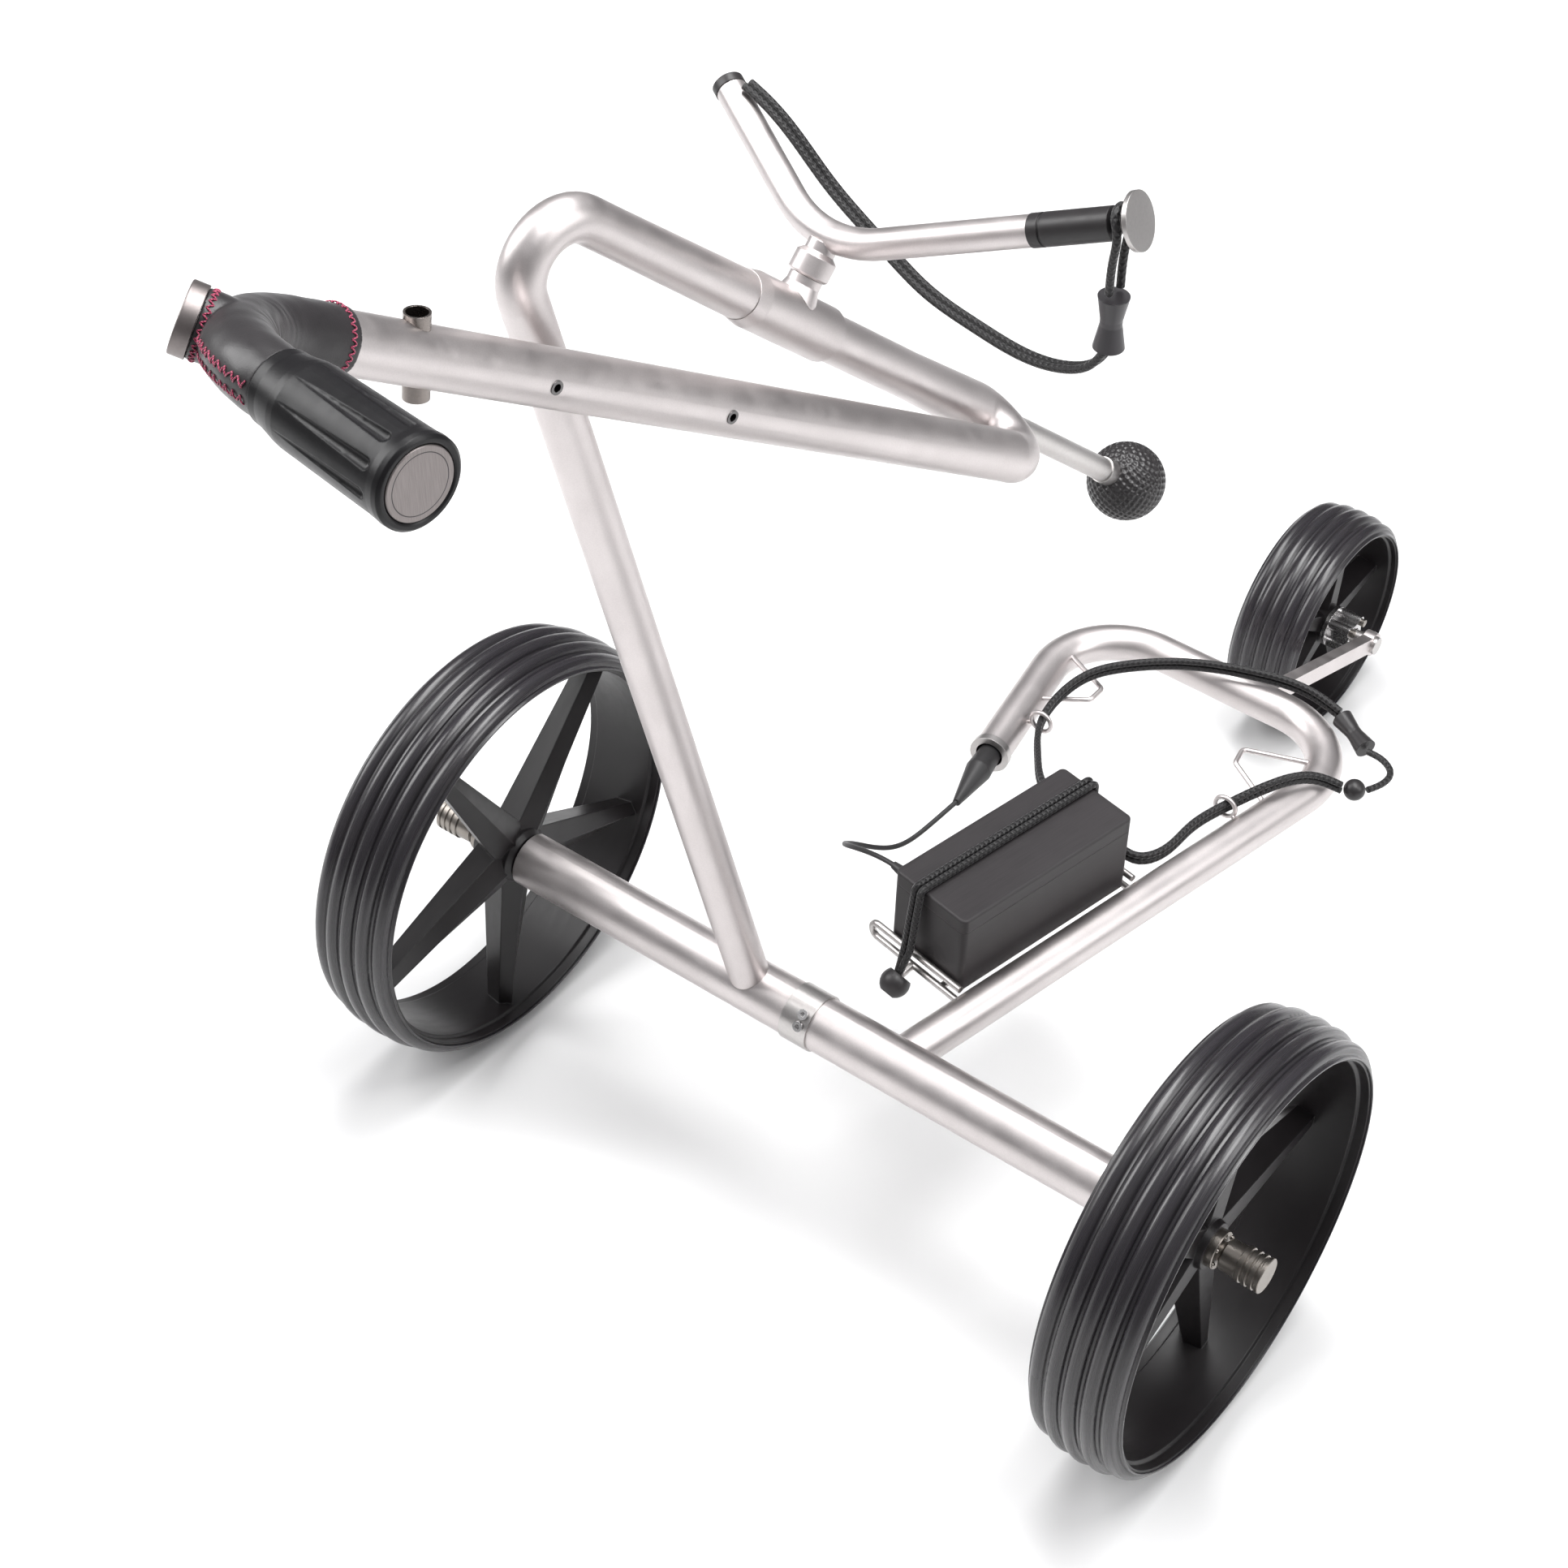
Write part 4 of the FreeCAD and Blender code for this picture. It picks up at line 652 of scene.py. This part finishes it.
def nearest_on(path, points):
    """For each point, the index of the nearest path point."""
    index = np.zeros(len(points), int)
    for start in range(0, len(points), BATCH):
        part = points[start:start + BATCH]
        gaps = ((part[:, None, :] - path[None, :, :]) ** 2).sum(axis=2)
        index[start:start + BATCH] = gaps.argmin(axis=1)
    return index


def soft_skin():
    """A copy of the cover as one rounded skin over the tube and its end boss."""
    source = NODES["leather_cover"]
    cover = source.copy()
    cover.data = source.data.copy()
    cover.name = cover.data.name = "leather_cover_sewn"
    for key in [k for k in cover.keys() if k.startswith("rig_")]:
        del cover[key]
    cover.parent = None
    bpy.context.scene.collection.objects.link(cover)
    remesh = cover.modifiers.new("skin", "REMESH")
    remesh.mode = "VOXEL"
    remesh.voxel_size = SKIN_VOXEL
    soften = cover.modifiers.new("soften", "SMOOTH")
    soften.iterations = 6
    soften.factor = 0.5
    bpy.context.view_layer.objects.active = cover
    bpy.context.view_layer.update()
    evaluated = cover.evaluated_get(bpy.context.evaluated_depsgraph_get())
    mesh = bpy.data.meshes.new_from_object(evaluated)
    cover.modifiers.clear()
    cover.data = mesh
    return cover


def crease(mesh, path, run):
    """Waves inside the bend and a faint ripple everywhere. Gives how far inside the bend each point is."""
    co = np.array([v.co for v in mesh.vertices])
    normals = np.array([v.normal for v in mesh.vertices])
    index = nearest_on(path, co)
    out = np.array(CAP_DIRECTION)
    offset = co - path[index]
    reach = np.linalg.norm(offset, axis=1)
    inward = -(offset @ out) / np.maximum(reach, 1e-6)
    middle = 1 - np.clip(np.abs(run[index] - run[-1] * CREASE_PLACE) / CREASE_SPAN, 0, 1)
    inside = np.clip(inward, 0, 1) * middle
    creases = np.sin(run[index] * 700.0 + 2.6 * np.sin(run[index] * 190.0 + inward * 5.0) + co[:, 2] * 160.0)
    outer = reach > OUTER_SKIN_R
    ripple = np.sin(co[:, 0] * 310 + 1.0) * np.sin(co[:, 1] * 270 + 2.0) * np.sin(co[:, 2] * 350)
    move = np.where(outer, creases * inside * CREASE_DEPTH + ripple * RIPPLE_DEPTH, 0.0)
    co = co + normals * move[:, None]
    mesh.vertices.foreach_set("co", co.astype(np.float32).ravel())
    mesh.polygons.foreach_set("use_smooth", [True] * len(mesh.polygons))
    return inside


def leather_skin(path, run):
    cover = soft_skin()
    inside = crease(cover.data, path, run)
    paint(cover, MATERIALS["leather"])
    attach(cover, "handle")
    add_values(cover, "inside", inside)
    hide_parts("leather_cover")


def stitches(name, centres, outward, across, width):
    """Zigzag of thread along a row of points: each stitch crosses the seam to the other side."""
    vertices, faces, runs, turns = [], [], [], []
    points = []
    for i, (c, o, a) in enumerate(zip(centres, outward, across)):
        side = 1 if i % 2 else -1
        points.append((np.array(c) + np.array(a) * side * width / 2, np.array(o)))
    for (p, po), (q, qo) in zip(points[:-1], points[1:]):
        rings = []
        line = q - p
        forward = line / np.linalg.norm(line)
        for k in range(STITCH_STEPS + 1):
            t = k / STITCH_STEPS
            lift = math.sin(math.pi * t) * STITCH_HEIGHT - STITCH_SINK
            out = po * (1 - t) + qo * t
            out /= np.linalg.norm(out)
            spot = p + line * t + out * lift
            side = np.cross(forward, out)
            ring = []
            for j in range(THREAD_SIDES):
                a = 2 * math.pi * j / THREAD_SIDES
                ring.append(len(vertices))
                vertices.append(spot + (side * math.cos(a) + out * math.sin(a)) * THREAD_R)
                runs.append(k * 0.0006)
                turns.append(a)
            rings.append(ring)
        for one, two in zip(rings[:-1], rings[1:]):
            for j in range(THREAD_SIDES):
                k = (j + 1) % THREAD_SIDES
                faces.append((one[j], one[k], two[k], two[j]))
    obj = to_mesh(name, vertices, faces, "handle", MATERIALS["thread"])
    add_values(obj, "run", runs)
    add_values(obj, "turn", turns)


def ring_of_stitches(name, centre, first, second, axis, radius, count):
    outward = []
    for turn in np.linspace(0, 2 * math.pi, count):
        outward.append(first * math.cos(turn) + second * math.sin(turn))
    centres = [centre + o * radius for o in outward]
    stitches(name, centres, outward, [axis] * count, RING_WIDTH)


def near_boss(point):
    """Whether a point is where the end boss leaves the tube, so that no stitch fits there."""
    gap = np.array(point) - np.array(BOSS_CENTRE)
    out = np.array(CAP_DIRECTION)
    flat = gap - out * gap.dot(out)
    return np.linalg.norm(flat) < BOSS_CLEAR_R and gap.dot(out) > -BOSS_CLEAR_DEPTH


def row_of_stitches(name, path, run, along, tilt):
    """A row along the outside of the bend, turned down round the tube by the tilt in degrees."""
    out = np.array(CAP_DIRECTION)
    down = np.array((0.0, 0.0, -1.0))
    a = math.radians(tilt)
    centres, outward, across = [], [], []
    for r in np.arange(ROW_START, run[-1] - ROW_END_GAP, ROW_PITCH):
        i = int(np.searchsorted(run, r))
        t = along[i]
        o = unit(out - t * out.dot(t))
        d = down - t * down.dot(t)
        d = unit(d - o * d.dot(o))
        direction = o * math.cos(a) + d * math.sin(a)
        spot = path[i] + direction * STITCH_R
        if not near_boss(spot):
            centres.append(spot)
            outward.append(direction)
            across.append(np.cross(t, direction))
    stitches(name, centres, outward, across, ROW_WIDTH)


def sewn_rows(path, run):
    """A ring of stitches near the front edge, one round the end boss, and two rows along the bend."""
    along, u, v = frames(path)
    i = int(np.searchsorted(run, FRONT_RING_PLACE))
    ring_of_stitches("stitch_ring_front", path[i], u[i], v[i], along[i], STITCH_R, 61)
    out = np.array(CAP_DIRECTION)
    first = unit(np.cross(out, (0.0, 0.0, 1.0)))
    centre = np.array(BOSS_CENTRE) - out * CAP_RING_BACK
    ring_of_stitches("stitch_ring_cap", centre, first, np.cross(out, first), out, CAP_RING_R, 55)
    for row, tilt in enumerate(ROW_TILTS, start=1):
        row_of_stitches("stitch_row_%d" % row, path, run, along, tilt)


leather_path, leather_run = even_steps(bent_curve(LEATHER_CORNERS, [LEATHER_BEND]) * MM, 0.0008)
leather_skin(leather_path, leather_run)
sewn_rows(leather_path, leather_run)


# ---------------------------------------------------------------- floor, light and camera
FLOOR_SIZE = 40.0
FLOOR_DROP = 0.0004
HORIZON = (0.16, 0.155, 0.155, 1)
OVERHEAD = (0.70, 0.70, 0.72, 1)
OVERHEAD_PLACE = 0.75
ROOM_STRENGTH = 0.6
CAMERA_AT = (0.75204048, -1.23408717, 1.56341232)
CAMERA_UP = (-0.42400741, 0.52952471, 0.73472532)
CAMERA_BACK = (0.42934151, -0.59678076, 0.67787801)
CAMERA_LENS = 75.825
CAMERA_SENSOR = 36.0


def lit_floor():
    bpy.ops.mesh.primitive_plane_add(size=FLOOR_SIZE, location=(0, 0, -FLOOR_DROP))
    floor = bpy.context.object
    floor.name = "floor"
    n = Nodes("floor_pale")
    place = n.place()
    cloud = n.noise(place, 1.2, 3.0)
    n.set(Base_Color=n.mix(cloud, (0.84, 0.84, 0.84), (0.87, 0.87, 0.87)))
    n.set(Roughness=0.75, Specular_IOR_Level=0.2)
    n.set(Normal=n.bump(n.noise(place, 300.0, 3.0), 0.05, 0.0002))
    paint(floor, n.material)


def studio_world():
    """A soft room: pale overhead, dark from the horizon down."""
    world = bpy.data.worlds.new("studio")
    bpy.context.scene.world = world
    world.use_nodes = True
    tree = world.node_tree
    tree.nodes.clear()
    output = tree.nodes.new("ShaderNodeOutputWorld")
    background = tree.nodes.new("ShaderNodeBackground")
    where = tree.nodes.new("ShaderNodeTexCoord")
    split = tree.nodes.new("ShaderNodeSeparateXYZ")
    ramp = tree.nodes.new("ShaderNodeValToRGB")
    tree.links.new(where.outputs["Generated"], split.inputs[0])
    tree.links.new(split.outputs[2], ramp.inputs[0])
    ramp.color_ramp.elements[0].position = 0.0
    ramp.color_ramp.elements[0].color = HORIZON
    ramp.color_ramp.elements[1].position = OVERHEAD_PLACE
    ramp.color_ramp.elements[1].color = OVERHEAD
    tree.links.new(ramp.outputs[0], background.inputs[0])
    background.inputs[1].default_value = ROOM_STRENGTH
    tree.links.new(background.outputs[0], output.inputs[0])


def soft_box(name, location, target, size, power):
    data = bpy.data.lights.new(name, "AREA")
    data.shape = "RECTANGLE"
    data.size, data.size_y = size
    data.energy = power
    lamp = bpy.data.objects.new(name, data)
    bpy.context.scene.collection.objects.link(lamp)
    lamp.location = location
    lamp.rotation_mode = "QUATERNION"
    lamp.rotation_quaternion = (Vector(target) - Vector(location)).to_track_quat("-Z", "Y")


lit_floor()
studio_world()
soft_box("key", (-1.9, -0.9, 1.9), (0, 0, 0.4), (1.0, 2.0), 45.0)
soft_box("fill", (2.1, 0.5, 1.7), (0, 0, 0.3), (1.0, 1.6), 26.0)
soft_box("top", (0.1, 0.3, 2.7), (0, 0.1, 0.2), (2.6, 1.1), 85.0)


def photo_camera():
    data = bpy.data.cameras.new("photo_camera")
    data.sensor_width = CAMERA_SENSOR
    data.lens = CAMERA_LENS
    data.clip_start = 0.05
    data.clip_end = 100.0
    camera = bpy.data.objects.new("photo_camera", data)
    bpy.context.scene.collection.objects.link(camera)
    up, back = Vector(CAMERA_UP), Vector(CAMERA_BACK)
    columns = [up.cross(back), up, back]
    matrix = Matrix(columns).transposed().to_4x4()
    matrix.translation = Vector(CAMERA_AT)
    camera.matrix_world = matrix
    bpy.context.scene.camera = camera


photo_camera()
scene = bpy.context.scene
scene.view_settings.view_transform = "Standard"
